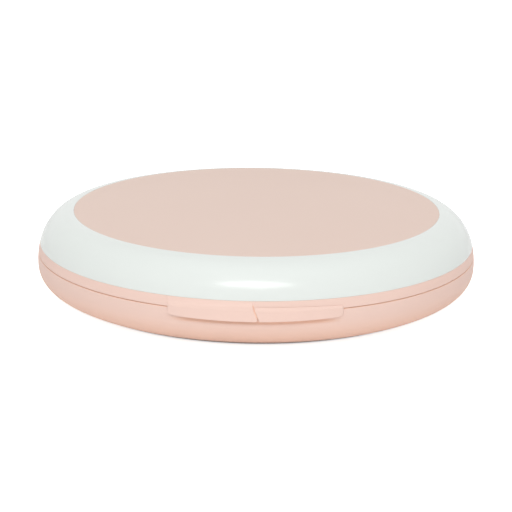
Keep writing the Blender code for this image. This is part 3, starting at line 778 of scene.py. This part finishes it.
# %% Lid frame
HAIRLINE = 0.02
RING_ROOM = RING_THICKNESS + GAP
DOME_ROOM = RING_ROOM + 1.3
CEILING_TOP = PLATE_LOW - GAP
CEILING_LOW = CEILING_TOP - 1.2
LEDGE = LIP_TOP + GAP
LEDGE_TOP = LEDGE + 0.6
SKIRT = LIP_OUTER + GAP
BEZEL = box_mm("mirror")[1].x + GAP
BEZEL_OUTER = BEZEL + 1.1
BEZEL_LOW = CEILING_LOW - 1.9
BAND_START = 12.0
BAND_HEIGHTS = (BAND_START, 11.6, 11.2, 10.7)
BAND_FOOT = (54.5, LID_RIM)

dome_low = BAND_TOP - HAIRLINE / 2
frame_outside = [(0.0, CEILING_TOP)] + shoulder_line(CEILING_TOP, dome_low, count=14, inset=RING_ROOM)
frame_outside += rounded([(*on_shoulder(dome_low, RING_ROOM), 0.0), (*on_shoulder(dome_low), 0.1),
                          (*on_shoulder(BAND_START), 0.0)])[1:-1]
band_counts = (3, 6, 7, 24, 10, 11, 6)
band_edge = LID_RIM + SEAM_EDGE
band_plain = eased(stepped([
    *[on_shoulder(height) for height in (*BAND_HEIGHTS, band_edge)],
    (shoulder(band_edge) - SEAM_EDGE, LID_RIM), (RIM_OUTER, LID_RIM), BAND_FOOT], band_counts), rounds=2)
band_tab = eased(stepped([
    on_shoulder(BAND_START), on_shoulder(TAB_TOP),
    (shoulder(TAB_CREST[1]) + TAB_CREST[0], TAB_CREST[1]), TAB_RIDGE, (TAB_REACH, TAB_LOW),
    (TAB_BACK, TAB_LOW), (TAB_BACK, LID_RIM), BAND_FOOT], band_counts), rounds=2)
frame_inside = rounded([
    (*BAND_FOOT, 0.0), (SKIRT, LID_RIM, 0.15), *bead(SKIRT)[::-1], (SKIRT, LEDGE, 0.12),
    (*on_shoulder(LEDGE, DOME_ROOM), 0.2), (*on_shoulder(LEDGE_TOP, DOME_ROOM), 0.0)])[1:]
frame_inside += shoulder_line(CEILING_LOW, LEDGE_TOP, count=12, inset=DOME_ROOM)[-2::-1]
frame_inside += rounded([
    (BEZEL_OUTER, CEILING_LOW, 0.15), (BEZEL_OUTER, BEZEL_LOW, 0.3), (BEZEL, BEZEL_LOW, 0.3),
    (BEZEL, CEILING_LOW, 0.0), (0.0, CEILING_LOW, 0.0)])
lid_rings = plain_rings(frame_outside, -1) + tabbed(band_plain, band_tab, -1) + plain_rings(frame_inside, -1)
lid_frame = piece("lid_band_and_ceiling", skin(lid_rings), "blush_satin", "lid", "lid_frame")

# %% Notches for the base's knuckles
SIDES = ((-1, "left"), (1, "right"))
BASE_KNUCKLE_START = LID_KNUCKLE_HALF + GAP + 0.05
BASE_KNUCKLE_END = BASE_KNUCKLE_START + 9.0
for side, word in SIDES:
    start, end = sorted((side * (LID_KNUCKLE_HALF + HAIRLINE), side * (BASE_KNUCKLE_END + GAP)))
    cut(lid_frame, word + "_base_knuckle_notch", along_x(knuckle_room, start, end))

# %% [markdown]
# ## Hinge
# At the back three knuckles share a steel pin: two belong to the bowl, the middle one to the lid.
# Each knuckle is a prism over its side outline, bored through for the pin, with its edges rounded
# by a Bevel. The pin is turned like the rest, then laid along X.

# %% Hinge
PIN_RADIUS = 0.8
PIN_EDGE = 0.3
KNUCKLE_EDGE = 0.25
WEB_INNER = LIP_INNER + 0.2
WEB_LOW = HINGE_Z - BARREL_RADIUS - 0.1
LID_ARM = ((54.5, 10.25), (54.6, 11.7), (55.1, 11.9))


def soften(target, width, segments=3, angle=45):
    """Round the edges of a piece with a Bevel."""
    step = target.modifiers.new("soft edges", "BEVEL")
    step.width = width * MM
    step.segments = segments
    step.limit_method = "ANGLE"
    step.angle_limit = radians(angle)
    step.harden_normals = True


pin_bore = circle(PIN_RADIUS + GAP, steps=32, centre=hinge_line)
base_barrel = arc(hinge_line, BARREL_RADIUS, radians(155), radians(-120), count=40)
base_web = [(WEB_INNER, BASE_RIM - GAP), *base_barrel, (WEB_INNER, WEB_LOW)]
lid_web = [*arc(hinge_line, BARREL_RADIUS, radians(50), radians(-180), count=40), *LID_ARM]
knuckles = [("left_base_knuckle", base_web, -BASE_KNUCKLE_END, -BASE_KNUCKLE_START, "base"),
            ("right_base_knuckle", base_web, BASE_KNUCKLE_START, BASE_KNUCKLE_END, "base"),
            ("lid_knuckle", lid_web, -LID_KNUCKLE_HALF, LID_KNUCKLE_HALF, "lid")]
for name, outline, start, end, body in knuckles:
    knuckle = piece(name, along_x(outline, start, end), "blush_satin", body)
    cut(knuckle, name + "_bore", along_x(pin_bore, start - OVERSHOOT, end + OVERSHOOT))
    soften(knuckle, KNUCKLE_EDGE)

pin_reach = box_mm("hinge_pin")[1].x
pin_profile = rounded([(0.0, pin_reach, 0.0), (PIN_RADIUS, pin_reach, PIN_EDGE),
                       (PIN_RADIUS, -pin_reach, PIN_EDGE), (0.0, -pin_reach, 0.0)])
pin_points, pin_faces = turned(pin_profile, steps=40)
pin_laid = [(z, HINGE_Y + y, HINGE_Z - x) for x, y, z in pin_points]
piece("pin", (pin_laid, pin_faces), "steel", "base", "hinge_pin")

# %% [markdown]
# ## Ring and disc on the lid
# The white ring follows the shoulder from the band up to the disc. The disc is let into it and
# rises by half a millimetre in the middle, enough to keep it from looking hollow. Both are plain
# turned pieces. Their edges are rounded in the profile, so that each edge catches a fine light.

# %% Shoulder ring and disc
FLAT_EDGE = 0.6
FINE_EDGE = 0.04
DISC_STEPS = 24

ring_low = BAND_TOP + HAIRLINE / 2
ring_foot = ring_low + 0.1
ring_outside = rounded([(DISC_RADIUS, SHOULDER_TOP - 0.5, 0.0), (DISC_RADIUS, SHOULDER_TOP, FINE_EDGE),
                        (DISC_RADIUS + FLAT_EDGE, SHOULDER_TOP, 0.0)])[:-1]
ring_outside += shoulder_line(SHOULDER_TOP - HAIRLINE, ring_foot, count=40)
ring_outside += rounded([(*on_shoulder(ring_foot), 0.0), (*on_shoulder(ring_low), 0.06),
                         (*on_shoulder(ring_low, RING_THICKNESS), 0.1)])[1:]
ring_top = SHOULDER_TOP - RING_THICKNESS
ring_inside = shoulder_line(ring_top, ring_low, count=14, inset=RING_THICKNESS)[-2::-1]
piece("shoulder_ring", turned(ring_outside + ring_inside), "white_gloss", "lid", "lid_cover_ring")

disc_edge = DISC_RADIUS - HAIRLINE
disc_profile = []
for i in range(DISC_STEPS):
    share = i / DISC_STEPS
    disc_profile.append((disc_edge * share, CROWN_TOP - (CROWN_TOP - SHOULDER_TOP) * share ** 2))
disc_profile += rounded([
    (disc_edge - FLAT_EDGE, SHOULDER_TOP + HAIRLINE / 2, 0.0), (disc_edge, SHOULDER_TOP, FINE_EDGE),
    (disc_edge, PLATE_LOW, 0.2), (0.0, PLATE_LOW, 0.0)])[1:]
piece("top_disc", turned(disc_profile), "blush_disc", "lid", "lid_top_plate")

# %% [markdown]
# ## Mirror
# The mirror is a thick glass disc with a polished bevel round the side that is seen. Its foam pad
# can't be seen past it, so the solid from the frame stays and only gets its finish.

# %% Mirror and pad
BEVEL_WIDTH = 2.2
BEVEL_EDGE = 0.35
mirror_low, mirror_high = box_mm("mirror")
mirror_profile = rounded([
    (0.0, mirror_high.z, 0.0), (mirror_high.x, mirror_high.z, 0.1),
    (mirror_high.x, mirror_low.z + BEVEL_EDGE, 0.05), (mirror_high.x - BEVEL_WIDTH, mirror_low.z, 0.0),
    (0.0, mirror_low.z, 0.0)])
piece("mirror_glass", turned(mirror_profile), "mirror_silver", "lid", "mirror", sharp=5)


def refinish(node, slot):
    """Give a node that stays the finish of its slot."""
    slots = frame["nodes"][node].data.materials
    slots.clear()
    slots.append(finishes[slot])
    print("new finish on", node)


refinish("mirror_pad", "foam_grey")

# %% [markdown]
# ## Tray
# The white tray is a deck with sunk pockets, as in a box of tools. The rim of every pocket is rolled
# over, which is what makes moulded plastic look moulded. A Bevel on Booleans could do that, but it
# tangles where a finger recess crosses a pocket. So each wall is a skin over copies of the pocket's
# outline, a little wider at the rim, and the flat deck between the outlines is a triangle fill.

# %% Outlines of the pockets
TRAY_RADIUS = box_mm("tray")[1].x
TRAY_TOP = box_mm("tray")[1].z
TRAY_LOW = box_mm("tray")[0].z
TRAY_FOOT = 48.0
TRAY_EDGE = 0.6
DECK_LOW = TRAY_TOP - 1.2
POCKET_FLOOR = 2.6
FINGER_FLOOR = 4.0
FINGER_RADIUS = 8.5
FINGER_STEP = 2.0
POCKET_ROOM = 0.7
ROLL = 0.7
case_low, case_high = box_mm("lens_case_body")
WELL_Y = (case_low.y + case_high.y) / 2
DECK_HALF = (case_high.y - case_low.y) / 2
WELL_X = case_high.x - DECK_HALF
LENS_HALF = DECK_HALF + POCKET_ROOM
TWEEZER_SLOT = ((1.75, 16.5), 31.5, 8.0)
LIFTER_SLOT = ((0.5, 34.0), 24.5, 4.5)
FRONT_RECESS = (0.0, WELL_Y - DECK_HALF - FINGER_STEP)
BACK_RECESS = (0.0, (TWEEZER_SLOT[0][1] + LIFTER_SLOT[0][1]) / 2)
BEND_STEPS = 28


def slot_way_round(slot, side, opening, grow):
    """A slot's edge, all but the stretch that a recess opens on its upper (1) or lower (-1) side."""
    (x, y), reach, half = slot
    radius = half + grow
    edge = y + side * radius
    right = arc((x + reach, y), radius, side * pi / 2, -side * pi / 2, BEND_STEPS)
    left = arc((x - reach, y), radius, -side * pi / 2, -side * 3 * pi / 2, BEND_STEPS)
    return [(opening, edge), *right, *left, (-opening, edge)]


def crossing(slot, side, recess, grow):
    """Where a recess meets a slot's straight side: half its width there and its angle."""
    edge = slot[0][1] + side * (slot[2] + grow)
    tilt = asin((edge - recess[1]) / (FINGER_RADIUS + grow))
    return (FINGER_RADIUS + grow) * cos(tilt), tilt


def lens_pocket(grow):
    """Outline of the lens pocket with its recess, of the pocket alone, and of the recess's floor."""
    slot = ((0.0, WELL_Y), WELL_X, LENS_HALF)
    opening, tilt = crossing(slot, -1, FRONT_RECESS, grow)
    way = slot_way_round(slot, -1, opening, grow)
    bulge = arc(FRONT_RECESS, FINGER_RADIUS + grow, pi - tilt, 2 * pi + tilt, count=40)[1:-1]
    return way + bulge, [way], [way[-1], *bulge, way[0]]


def tool_pockets(grow):
    """The same for the tweezers' and the lifter's slots with the recess between them."""
    wide, wide_tilt = crossing(TWEEZER_SLOT, 1, BACK_RECESS, grow)
    narrow, narrow_tilt = crossing(LIFTER_SLOT, -1, BACK_RECESS, grow)
    tweezers = slot_way_round(TWEEZER_SLOT, 1, wide, grow)
    lifter = slot_way_round(LIFTER_SLOT, -1, narrow, grow)[::-1]
    radius = FINGER_RADIUS + grow
    left = arc(BACK_RECESS, radius, pi - wide_tilt, pi - narrow_tilt, count=14)[1:-1]
    right = arc(BACK_RECESS, radius, narrow_tilt, wide_tilt, count=14)[1:-1]
    floor = [tweezers[-1], *left, lifter[0], lifter[-1], *right, tweezers[0]]
    return tweezers + left + lifter + right, [tweezers, lifter], floor


print("points round the openings:", len(lens_pocket(0.0)[0]), "and", len(tool_pockets(0.0)[0]))

# %% Deck and pockets
ROLL_STEPS = 6
FLOOR_STEPS = 4


def flat_fill(loops, height):
    """Fill the flat area between closed loops, the first of them outermost."""
    form = bmesh.new()
    for loop in loops:
        corners = [form.verts.new((x, y, height)) for x, y in loop]
        for one, other in zip(corners, corners[1:] + corners[:1]):
            form.edges.new((one, other))
    bmesh.ops.triangle_fill(form, edges=form.edges, use_beauty=True)
    form.verts.index_update()
    points = [tuple(corner.co) for corner in form.verts]
    faces = [[corner.index for corner in face.verts] for face in form.faces]
    form.free()
    return points, faces


def flat_face(outline, height):
    return at_height(outline, height), [list(range(len(outline)))]


def pocket(outlines):
    """Walls, ledge and floors of one opening in the deck; outlines is a function of growth."""
    rings = []
    for i in range(ROLL_STEPS + 1):
        turn = pi / 2 * i / ROLL_STEPS
        rings.append(at_height(outlines(ROLL * (1 - sin(turn)))[0], TRAY_TOP - ROLL * (1 - cos(turn))))
    opening, pockets, ledge = outlines(0.0)
    rings.append(at_height(opening, FINGER_FLOOR))
    parts = [skin(rings), flat_face(ledge, FINGER_FLOOR)]
    for i, outline in enumerate(pockets):
        lower = [at_height(outline, FINGER_FLOOR)]
        for step in range(FLOOR_STEPS + 1):
            turn = pi / 2 * step / FLOOR_STEPS
            inset = ROLL * (1 - cos(turn))
            lower.append(at_height(outlines(-inset)[1][i], POCKET_FLOOR + ROLL * (1 - sin(turn))))
        parts += [skin(lower), flat_face(outlines(-ROLL)[1][i], POCKET_FLOOR)]
    return together(*parts)


deck_edge = TRAY_RADIUS - TRAY_EDGE
edge_profile = rounded([
    (deck_edge, TRAY_TOP, 0.0), (TRAY_RADIUS, TRAY_TOP, 0.5), (TRAY_RADIUS, DECK_LOW, 0.0),
    (TRAY_FOOT, DECK_LOW, 0.0), (TRAY_FOOT, TRAY_LOW, 0.0)])
edge_rings = [at_height(circle(radius), height) for radius, height in edge_profile]
deck = flat_fill([circle(deck_edge), lens_pocket(ROLL)[0], tool_pockets(ROLL)[0]], TRAY_TOP)
tray_floor = flat_face(circle(TRAY_FOOT), TRAY_LOW)
tray_shape = together(deck, skin(edge_rings), tray_floor, pocket(lens_pocket), pocket(tool_pockets))
piece("tray_insert", tray_shape, "white_satin", "base", "tray")

# %% [markdown]
# ## Lens case
# The lens case has two round wells with threaded necks, joined by a flat deck. The wells are turned,
# the deck is a slot-shaped plate with rounded edges, and each thread is a small ridge led round the
# neck on a helix.

# %% Lens case
WELL_RADIUS = 10.3
WELL_FLOOR = 3.8
NECK_RADIUS = 11.5
NECK_OVERLAP = 0.5
PLATE = (4.9, 6.2)
PLATE_EDGE = 0.6
PLATE_ROUND = 0.45
THREAD_LEAD = 4.0
THREAD_TURNS = 0.42
THREAD_STARTS = (0.0, pi)
THREAD_STEPS = 32
THREAD_ROOT = 0.05
NECK_THREAD_LOW = 8.0
NECK_THREAD_HALF = 0.5


def thread(centre, radius, half, low, start):
    """A four-sided ridge along a stretch of right-handed helix."""
    rings = []
    for i in range(THREAD_STEPS + 1):
        turn = THREAD_TURNS * i / THREAD_STEPS
        angle = start + 2 * pi * turn
        height = low + THREAD_LEAD * turn
        ring = []
        for out, up in ((half, 0.0), (0.0, half), (-half, 0.0), (0.0, -half)):
            reach = radius + out
            ring.append((centre[0] + reach * cos(angle), centre[1] + reach * sin(angle), height + up))
        rings.append(ring)
    ends = [[tuple(sum((Vector(p) for p in ring), Vector()) / 4)] for ring in (rings[0], rings[-1])]
    return skin([ends[0], *rings, ends[1]])


def plate_loop(inset):
    radius = DECK_HALF - inset
    return (arc((WELL_X, WELL_Y), radius, -pi / 2, pi / 2, count=40)
            + arc((-WELL_X, WELL_Y), radius, pi / 2, 3 * pi / 2, count=40))


def well_loop(side):
    return circle(NECK_RADIUS - NECK_OVERLAP, steps=64, centre=(side * WELL_X, WELL_Y))


plate_low, plate_high = PLATE
plate_edge = rounded([(PLATE_EDGE, plate_low, 0.0), (0.0, plate_low, PLATE_ROUND),
                      (0.0, plate_high, PLATE_ROUND), (PLATE_EDGE, plate_high, 0.0)])
lens_parts = [skin([at_height(plate_loop(inset), height) for inset, height in plate_edge])]
for height in PLATE:
    lens_parts.append(flat_fill([plate_loop(PLATE_EDGE), well_loop(-1), well_loop(1)], height))
cup = rounded([
    (0.0, WELL_FLOOR, 0.0), (WELL_RADIUS, WELL_FLOOR, 2.4), (WELL_RADIUS, case_high.z, 0.25),
    (NECK_RADIUS, case_high.z, 0.3), (NECK_RADIUS, case_low.z, 0.8), (0.0, case_low.z, 0.0)], steps=8)
for side, _ in SIDES:
    well = (side * WELL_X, WELL_Y)
    lens_parts.append(skin([at_height(well_loop(side), height) for height in PLATE]))
    lens_parts.append(turned(cup, steps=96, centre=well))
    for start in THREAD_STARTS:
        lens_parts.append(thread(well, NECK_RADIUS - THREAD_ROOT, NECK_THREAD_HALF, NECK_THREAD_LOW, start))
piece("twin_wells", together(*lens_parts), "white_gloss", "base", "lens_case_body")

# %% [markdown]
# ## Screw caps
# A cap is a turned shell whose radius swells and shrinks on the way round, for the grip. Its top is
# dished, and a raised letter says which eye it is for. The letters are text objects turned into
# meshes; nothing else on the case carries a mark.

# %% Caps
CAP_RADIUS = 13.9
CAP_RIBS = 20
RIB_DEPTH = 0.25
RIB_FADE = 0.8
CAP_EDGE = 0.9
CAP_BORE = 12.2
CAP_CEILING = 11.5
CAP_THREAD_LOW = NECK_THREAD_LOW - 0.85
CAP_THREAD_HALF = 0.55
DISH = 0.3
DISH_FLOOR = 9.6
DISH_RIM = 10.4
LETTER_FOOT = 0.08
LETTER_SIZES = {"size": 9.0, "offset": 0.1, "extrude": 0.1, "bevel_depth": 0.03}


def ribbed(profile, centre, steps=360):
    """Turn (radius, height, share of the ribs) points."""
    rings = []
    for radius, height, share in profile:
        if radius < POLE:
            rings.append([(*centre, height)])
            continue
        ring = []
        for i in range(steps):
            angle = 2 * pi * i / steps
            r = radius + share * RIB_DEPTH * cos(CAP_RIBS * angle)
            ring.append((centre[0] + r * cos(angle), centre[1] + r * sin(angle), height))
        rings.append(ring)
    return skin(rings)


def baked(thing):
    """An object's mesh with its modifiers worked in, or a text's letters as a mesh."""
    bpy.context.view_layer.update()
    return bpy.data.meshes.new_from_object(thing.evaluated_get(bpy.context.evaluated_depsgraph_get()))


def letter(text, centre, height):
    """A raised letter as a mesh, its foot at a height in millimetres."""
    curve = bpy.data.curves.new("mark", "FONT")
    curve.body = text
    curve.align_x = "CENTER"
    curve.align_y = "CENTER"
    for name, value in LETTER_SIZES.items():
        setattr(curve, name, value * MM)
    holder = add_object("mark", curve)
    mesh = baked(holder)
    bpy.data.objects.remove(holder, do_unlink=True)
    spot = Vector((*centre, height))
    points = [tuple(spot + corner.co / MM) for corner in mesh.vertices]
    return points, [list(face.vertices) for face in mesh.polygons]


for side, word in SIDES:
    cap_low, cap_high = box_mm(word + "_cap")
    dish_low = cap_high.z - DISH
    well = (side * WELL_X, WELL_Y)
    outside = rounded([
        (0.0, dish_low, 0.0), (DISH_FLOOR, dish_low, 0.4), (DISH_RIM, cap_high.z, 0.4),
        (CAP_RADIUS, cap_high.z, CAP_EDGE), (CAP_RADIUS, cap_low.z, 0.4), (CAP_BORE, cap_low.z, 0.2),
        (CAP_BORE, CAP_CEILING, 0.2), (0.0, CAP_CEILING, 0.0)], steps=6)
    rib_start = CAP_RADIUS - CAP_EDGE
    profile = [(r, z, min(1.0, max(0.0, (r - rib_start) / RIB_FADE))) for r, z in outside]
    threads = [thread(well, CAP_BORE + THREAD_ROOT, CAP_THREAD_HALF, CAP_THREAD_LOW, start)
               for start in THREAD_STARTS]
    piece(word + "_screw_cap", together(ribbed(profile, well), *threads), "blush_satin",
          word + "_cap", word + "_cap")
    mark = letter(word[0].upper(), well, dish_low + LETTER_FOOT)
    piece(word + "_cap_letter", mark, "blush_satin", word + "_cap")
    refinish(word + "_cap_seal", "silicone")

# %% [markdown]
# ## Tweezers
# The tweezers lie on edge: two thin spring blades, welded at one end, with soft sleeves on the tips.
# A blade is a bent outline pulled up to its height with its edges rounded, made where it lies and
# riding on no body. A sleeve is a skin over rounded sections that swell and close again towards the end.

# %% Tweezers
TWEEZER_X = -25.0
TWEEZER_Y = 16.5
BLADE_SPREAD = 0.135
BLADE_BOW = 0.0008
BLADE_HALF = 0.4
WELD_EDGE = -3.0
TIP_START = 48.0
TIP_END = 62.5
TIP_HALF = 1.4
BLADE_EDGE = 0.18
BLADE_STEPS = 48
TIP_STEPS = 24
TIP_BLUNTNESS = 5
TIP_FULLNESS = 0.3
TIP_TALLNESS = 0.6
TIP_SQUARENESS = 0.7
TIP_CLOSED = 0.9995


def blade_offset(along):
    """How far a blade's middle stands from the tweezers' own line, a distance ahead of the weld."""
    ahead = max(0.0, along)
    return GAP / 2 + BLADE_HALF + BLADE_SPREAD * ahead - BLADE_BOW * ahead ** 2


def inner_offset(along):
    """The same for a blade's inner face, which meets the other blade's over the weld."""
    return (blade_offset(along) - BLADE_HALF) * min(1.0, max(0.0, 1 - along / WELD_EDGE))


def upright(outline, low, high):
    """A prism straight up over an outline of (x, y) points."""
    return prism(at_height(outline, low), at_height(outline, high))


def settle(target):
    """Make a piece's modifiers part of its mesh."""
    target.data = baked(target)
    target.modifiers.clear()


def squared(value):
    """A sine or cosine that stays near 1 for longer, which makes a circle a rounded square."""
    return abs(value) ** TIP_SQUARENESS * (1 if value > 0 else -1)


def tip_ring(place, wide, high):
    """A rounded section across the tweezers."""
    ring = []
    for i in range(TIP_STEPS):
        angle = 2 * pi * i / TIP_STEPS
        ring.append((place[0], place[1] + wide * squared(cos(angle)), place[2] + high * squared(sin(angle))))
    return ring


for side, word in ((-1, "front"), (1, "back")):
    blade_low, blade_high = box_mm("tweezer_blade_" + word)
    start, end = blade_low.x - TWEEZER_X, blade_high.x - TWEEZER_X
    stations = [start + (end - start) * i / BLADE_STEPS for i in range(BLADE_STEPS + 1)]
    outer = [(TWEEZER_X + a, TWEEZER_Y + side * (blade_offset(a) + BLADE_HALF)) for a in stations]
    inner = [(TWEEZER_X + a, TWEEZER_Y + side * inner_offset(a)) for a in stations]
    blade_shape = upright(outer + inner[::-1], blade_low.z, blade_high.z)
    blade = piece("steel_blade_" + word, blade_shape, "steel", None, "tweezer_blade_" + word)
    soften(blade, BLADE_EDGE)
    settle(blade)
    "tweezer_" + word
    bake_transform(blade)

    tip_low, tip_high = box_mm("tweezer_tip_" + word)
    middle, tall = (tip_low.z + tip_high.z) / 2, (tip_high.z - tip_low.z) / 2
    places = []
    rings = []
    for i in range(TIP_STEPS + 1):
        share = i / TIP_STEPS
        along = TIP_START + (TIP_END - TIP_START) * share
        fullness = (1 - min(TIP_CLOSED, abs(2 * share - 1) ** TIP_BLUNTNESS)) ** TIP_FULLNESS
        places.append((TWEEZER_X + along, TWEEZER_Y + side * blade_offset(along), middle))
        rings.append(tip_ring(places[-1], TIP_HALF * fullness, tall * fullness ** TIP_TALLNESS))
    tip_shape = skin([[places[0]], *rings, [places[-1]]])
    piece("soft_tip_" + word, tip_shape, "silicone", "tweezer_" + word, "tweezer_tip_" + word, sharp=70)

# %% [markdown]
# ## Lens lifter
# The lifter is a slim handle with a soft suction cup for hard lenses. Both are turned about their
# own length and then laid along X. The handle's few points are drawn as straight stretches first and
# worn round afterwards, which gives an easy, waisted line.

# %% Lifter
stick_low, stick_high = box_mm("lifter_stick")
cup_low, cup_high = box_mm("lifter_cup")
LIFTER_Y = (stick_low.y + stick_high.y) / 2
LIFTER_Z = (stick_low.z + stick_high.z) / 2
HANDLE = 40.0
HANDLE_LINE = ((1.9, HANDLE - 0.2), (2.15, 34.0), (1.45, 18.0), (2.2, 3.4), (2.05, 1.2), (0.9, 0.15))
HANDLE_COUNTS = (14, 36, 34, 8, 6)
HANDLE_EASE = 14
PEG_RADIUS = 1.1
CUP_BORE = 1.4
CUP_SOCKET = 2.2
CUP_LINE = ((1.2, 2.0, 0.5), (2.1, 1.1, 0.8), (2.95, 0.0, 0.12), (3.2, 0.0, 0.12), (3.0, 1.1, 0.7),
            (1.6, 3.6, 1.1), (CUP_SOCKET, 7.2, 0.9))
CUP_BOTTOM = 2.2


def laid_along_x(profile, steps=56):
    """Turn a profile of (radius, length) points and lay it in the lifter's slot."""
    points, faces = turned(profile, steps)
    return [(stick_low.x + z, LIFTER_Y + y, LIFTER_Z - x) for x, y, z in points], faces


stick_length = stick_high.x - stick_low.x
handle = eased(stepped(HANDLE_LINE, HANDLE_COUNTS), HANDLE_EASE)
peg = rounded([(0.0, stick_length, 0.0), (PEG_RADIUS, stick_length, 0.3), (PEG_RADIUS, HANDLE, 0.1),
               (1.7, HANDLE, 0.15)])
handle_shape = laid_along_x(peg + handle + [(0.0, 0.0)])
piece("lifter_handle", handle_shape, "blush_satin", "base", "lifter_stick")

mouth = cup_high.x - stick_low.x
neck = cup_low.x - stick_low.x
cup_profile = [(0.0, mouth - CUP_BOTTOM)]
cup_profile += rounded([
    *[(radius, mouth - depth, fillet) for radius, depth, fillet in CUP_LINE],
    (CUP_SOCKET, neck, 0.35), (CUP_BORE, neck, 0.15)], steps=7)
cup_profile += [(CUP_BORE, stick_length + GAP), (0.0, stick_length + GAP)]
piece("suction_cup", laid_along_x(cup_profile), "silicone", "base", "lifter_cup")
print("pieces:", len(pieces_made))

# %% [markdown]
# ## Table and light
# The case stands on a plain white table under soft studio light. The room gives even light from all
# round, one lamp at the front makes the long gleam on the white ring, a wide one above models the
# shape, and two low ones lighten the belly at the front and at the back. The table gets the last of
# its white from a little light of its own that only the eye, mirrors and glass see, so the case
# isn't lit by it. Close under the case, where an Ambient Occlusion node finds something near, that
# light fades out and a painted contact shadow takes over: the table's own colour turns brown there,
# which keeps a fine dark line of contact.

# %% Table
TABLE_HALF = 3000.0
TABLE_LIFT = 0.82
TABLE_MIRRORED = 0.12
CONTACT_REACH = 0.82
CONTACT_EDGE = (0.35, 0.65)
# Painted contact shadow: the brown the table is given close under the case.
CONTACT_SHADOW_BROWN = (0.36, 0.18, 0.09)
TABLE_WHITE = (0.9, 0.9, 0.9)


def eye_ray(wire):
    return wire.node("ShaderNodeLightPath", out="Is Camera Ray")


def mirror_ray(wire):
    """1 for what a mirror or glass shows."""
    return wire.sum_up("MAXIMUM", wire.node("ShaderNodeLightPath", out="Is Glossy Ray"),
                       wire.node("ShaderNodeLightPath", out="Is Transmission Ray"))


def table_white(wire):
    free = wire.node("ShaderNodeAmbientOcclusion", {"samples": 16},
                     {"Distance": CONTACT_REACH * MM}, out="AO")
    clear = wire.node("ShaderNodeMapRange", {"interpolation_type": "SMOOTHSTEP"}, {
        "Value": free, "From Min": CONTACT_EDGE[0], "From Max": CONTACT_EDGE[1]})
    share = eye_ray(wire) * clear * TABLE_LIFT + mirror_ray(wire) * TABLE_MIRRORED
    # Painted contact shadow: the table's colour turns brown where the case is close above it.
    return {"Base Color": blend_colour(wire, clear, CONTACT_SHADOW_BROWN, TABLE_WHITE),
            "Emission Color": blend_colour(wire, share, (0.0, 0.0, 0.0), (1.0, 1.0, 1.0))}


new_finish("table_white", table_white, {
    "Roughness": 0.9, "Specular IOR Level": 0.0, "Emission Strength": 1.0})
table_mesh = bpy.data.meshes.new("table")
corners = [(-TABLE_HALF, -TABLE_HALF), (TABLE_HALF, -TABLE_HALF), (TABLE_HALF, TABLE_HALF),
           (-TABLE_HALF, TABLE_HALF)]
table_mesh.from_pydata([Vector(corner) * MM for corner in at_height(corners, -HAIRLINE)], [], [(0, 1, 2, 3)])
table_mesh.materials.append(finishes["table_white"])
table = add_object("table", table_mesh)

# %% Room and lamps
ROOM_LIGHT = 0.54
room = bpy.data.worlds.new("room")
bpy.context.scene.world = room
room.use_nodes = True
room_wire = Wire(room.node_tree)
seen = room_wire.sum_up("MAXIMUM", eye_ray(room_wire), mirror_ray(room_wire))
room_colour = blend_colour(room_wire, seen, (ROOM_LIGHT,) * 3, (1.0, 1.0, 1.0))
room.node_tree.links.new(room_colour.socket, room.node_tree.nodes["Background"].inputs["Color"])


def lamp(name, place, aim, size, radiance, gleams):
    """An area lamp in metres; radiance 1 looks as bright as white paper, and only some lamps gleam."""
    light = bpy.data.lights.new(name, "AREA")
    light.shape = "ELLIPSE"
    light.size, light.size_y = size
    light.energy = radiance * pi * size[0] * size[1] * pi / 4
    holder = add_object(name, light)
    holder.visible_glossy = gleams
    holder.location = place
    holder.rotation_mode = "QUATERNION"
    holder.rotation_quaternion = (Vector(place) - Vector(aim)).to_track_quat("Z", "Y")
    print(f"lamp {name}: {light.energy:.2f} W")


CASE_MIDDLE = (0.0, 0.0, 0.01)
GLEAM_DISTANCE = 0.9
gleam_point = Vector((0.0, -53.5, 15.9)) * MM
gleam_way = Vector((-0.01, -0.68, 0.733))
lamp("gleam_softbox", gleam_point + gleam_way * GLEAM_DISTANCE, gleam_point, (0.54, 0.25), 5.5, True)
lamp("top_softbox", (0.0, -0.35, 1.4), CASE_MIDDLE, (1.3, 1.2), 1.6, False)
lamp("low_fill", (0.0, -1.5, 0.17), CASE_MIDDLE, (1.8, 0.36), 1.45, False)
lamp("back_fill", (0.0, 1.4, 0.3), CASE_MIDDLE, (1.8, 0.36), 1.2, False)

# %% [markdown]
# ## Camera
# The picture was taken from the front, a little above the case, with a long lens. The height, the
# distance, the lens and a slight tilt of the camera were found by matching the outline.

# %% Camera
VIEW_HEIGHT = radians(16.08)
VIEW_DISTANCE = 0.338
VIEW_TARGET = Vector((-0.00002, 0.0, 0.00656))
VIEW_ROLL = radians(0.669)
camera = add_object("camera", bpy.data.cameras.new("camera"))
camera.data.sensor_width = 36.0
camera.data.lens = 91.25
camera.data.clip_start = 0.01
camera.data.clip_end = 20.0
back = Vector((0.0, -cos(VIEW_HEIGHT), sin(VIEW_HEIGHT)))
level = Vector((1.0, 0.0, 0.0))
upward = Vector((0.0, sin(VIEW_HEIGHT), cos(VIEW_HEIGHT)))
right = cos(VIEW_ROLL) * level + sin(VIEW_ROLL) * upward
up = cos(VIEW_ROLL) * upward - sin(VIEW_ROLL) * level
turn = Matrix((right, up, back)).transposed().to_4x4()
camera.matrix_world = Matrix.Translation(VIEW_TARGET + back * VIEW_DISTANCE) @ turn
bpy.context.scene.camera = camera
bpy.context.scene.view_settings.view_transform = "Standard"
print(f"camera {VIEW_DISTANCE:.3f} m from the case, lens {camera.data.lens:.1f} mm")
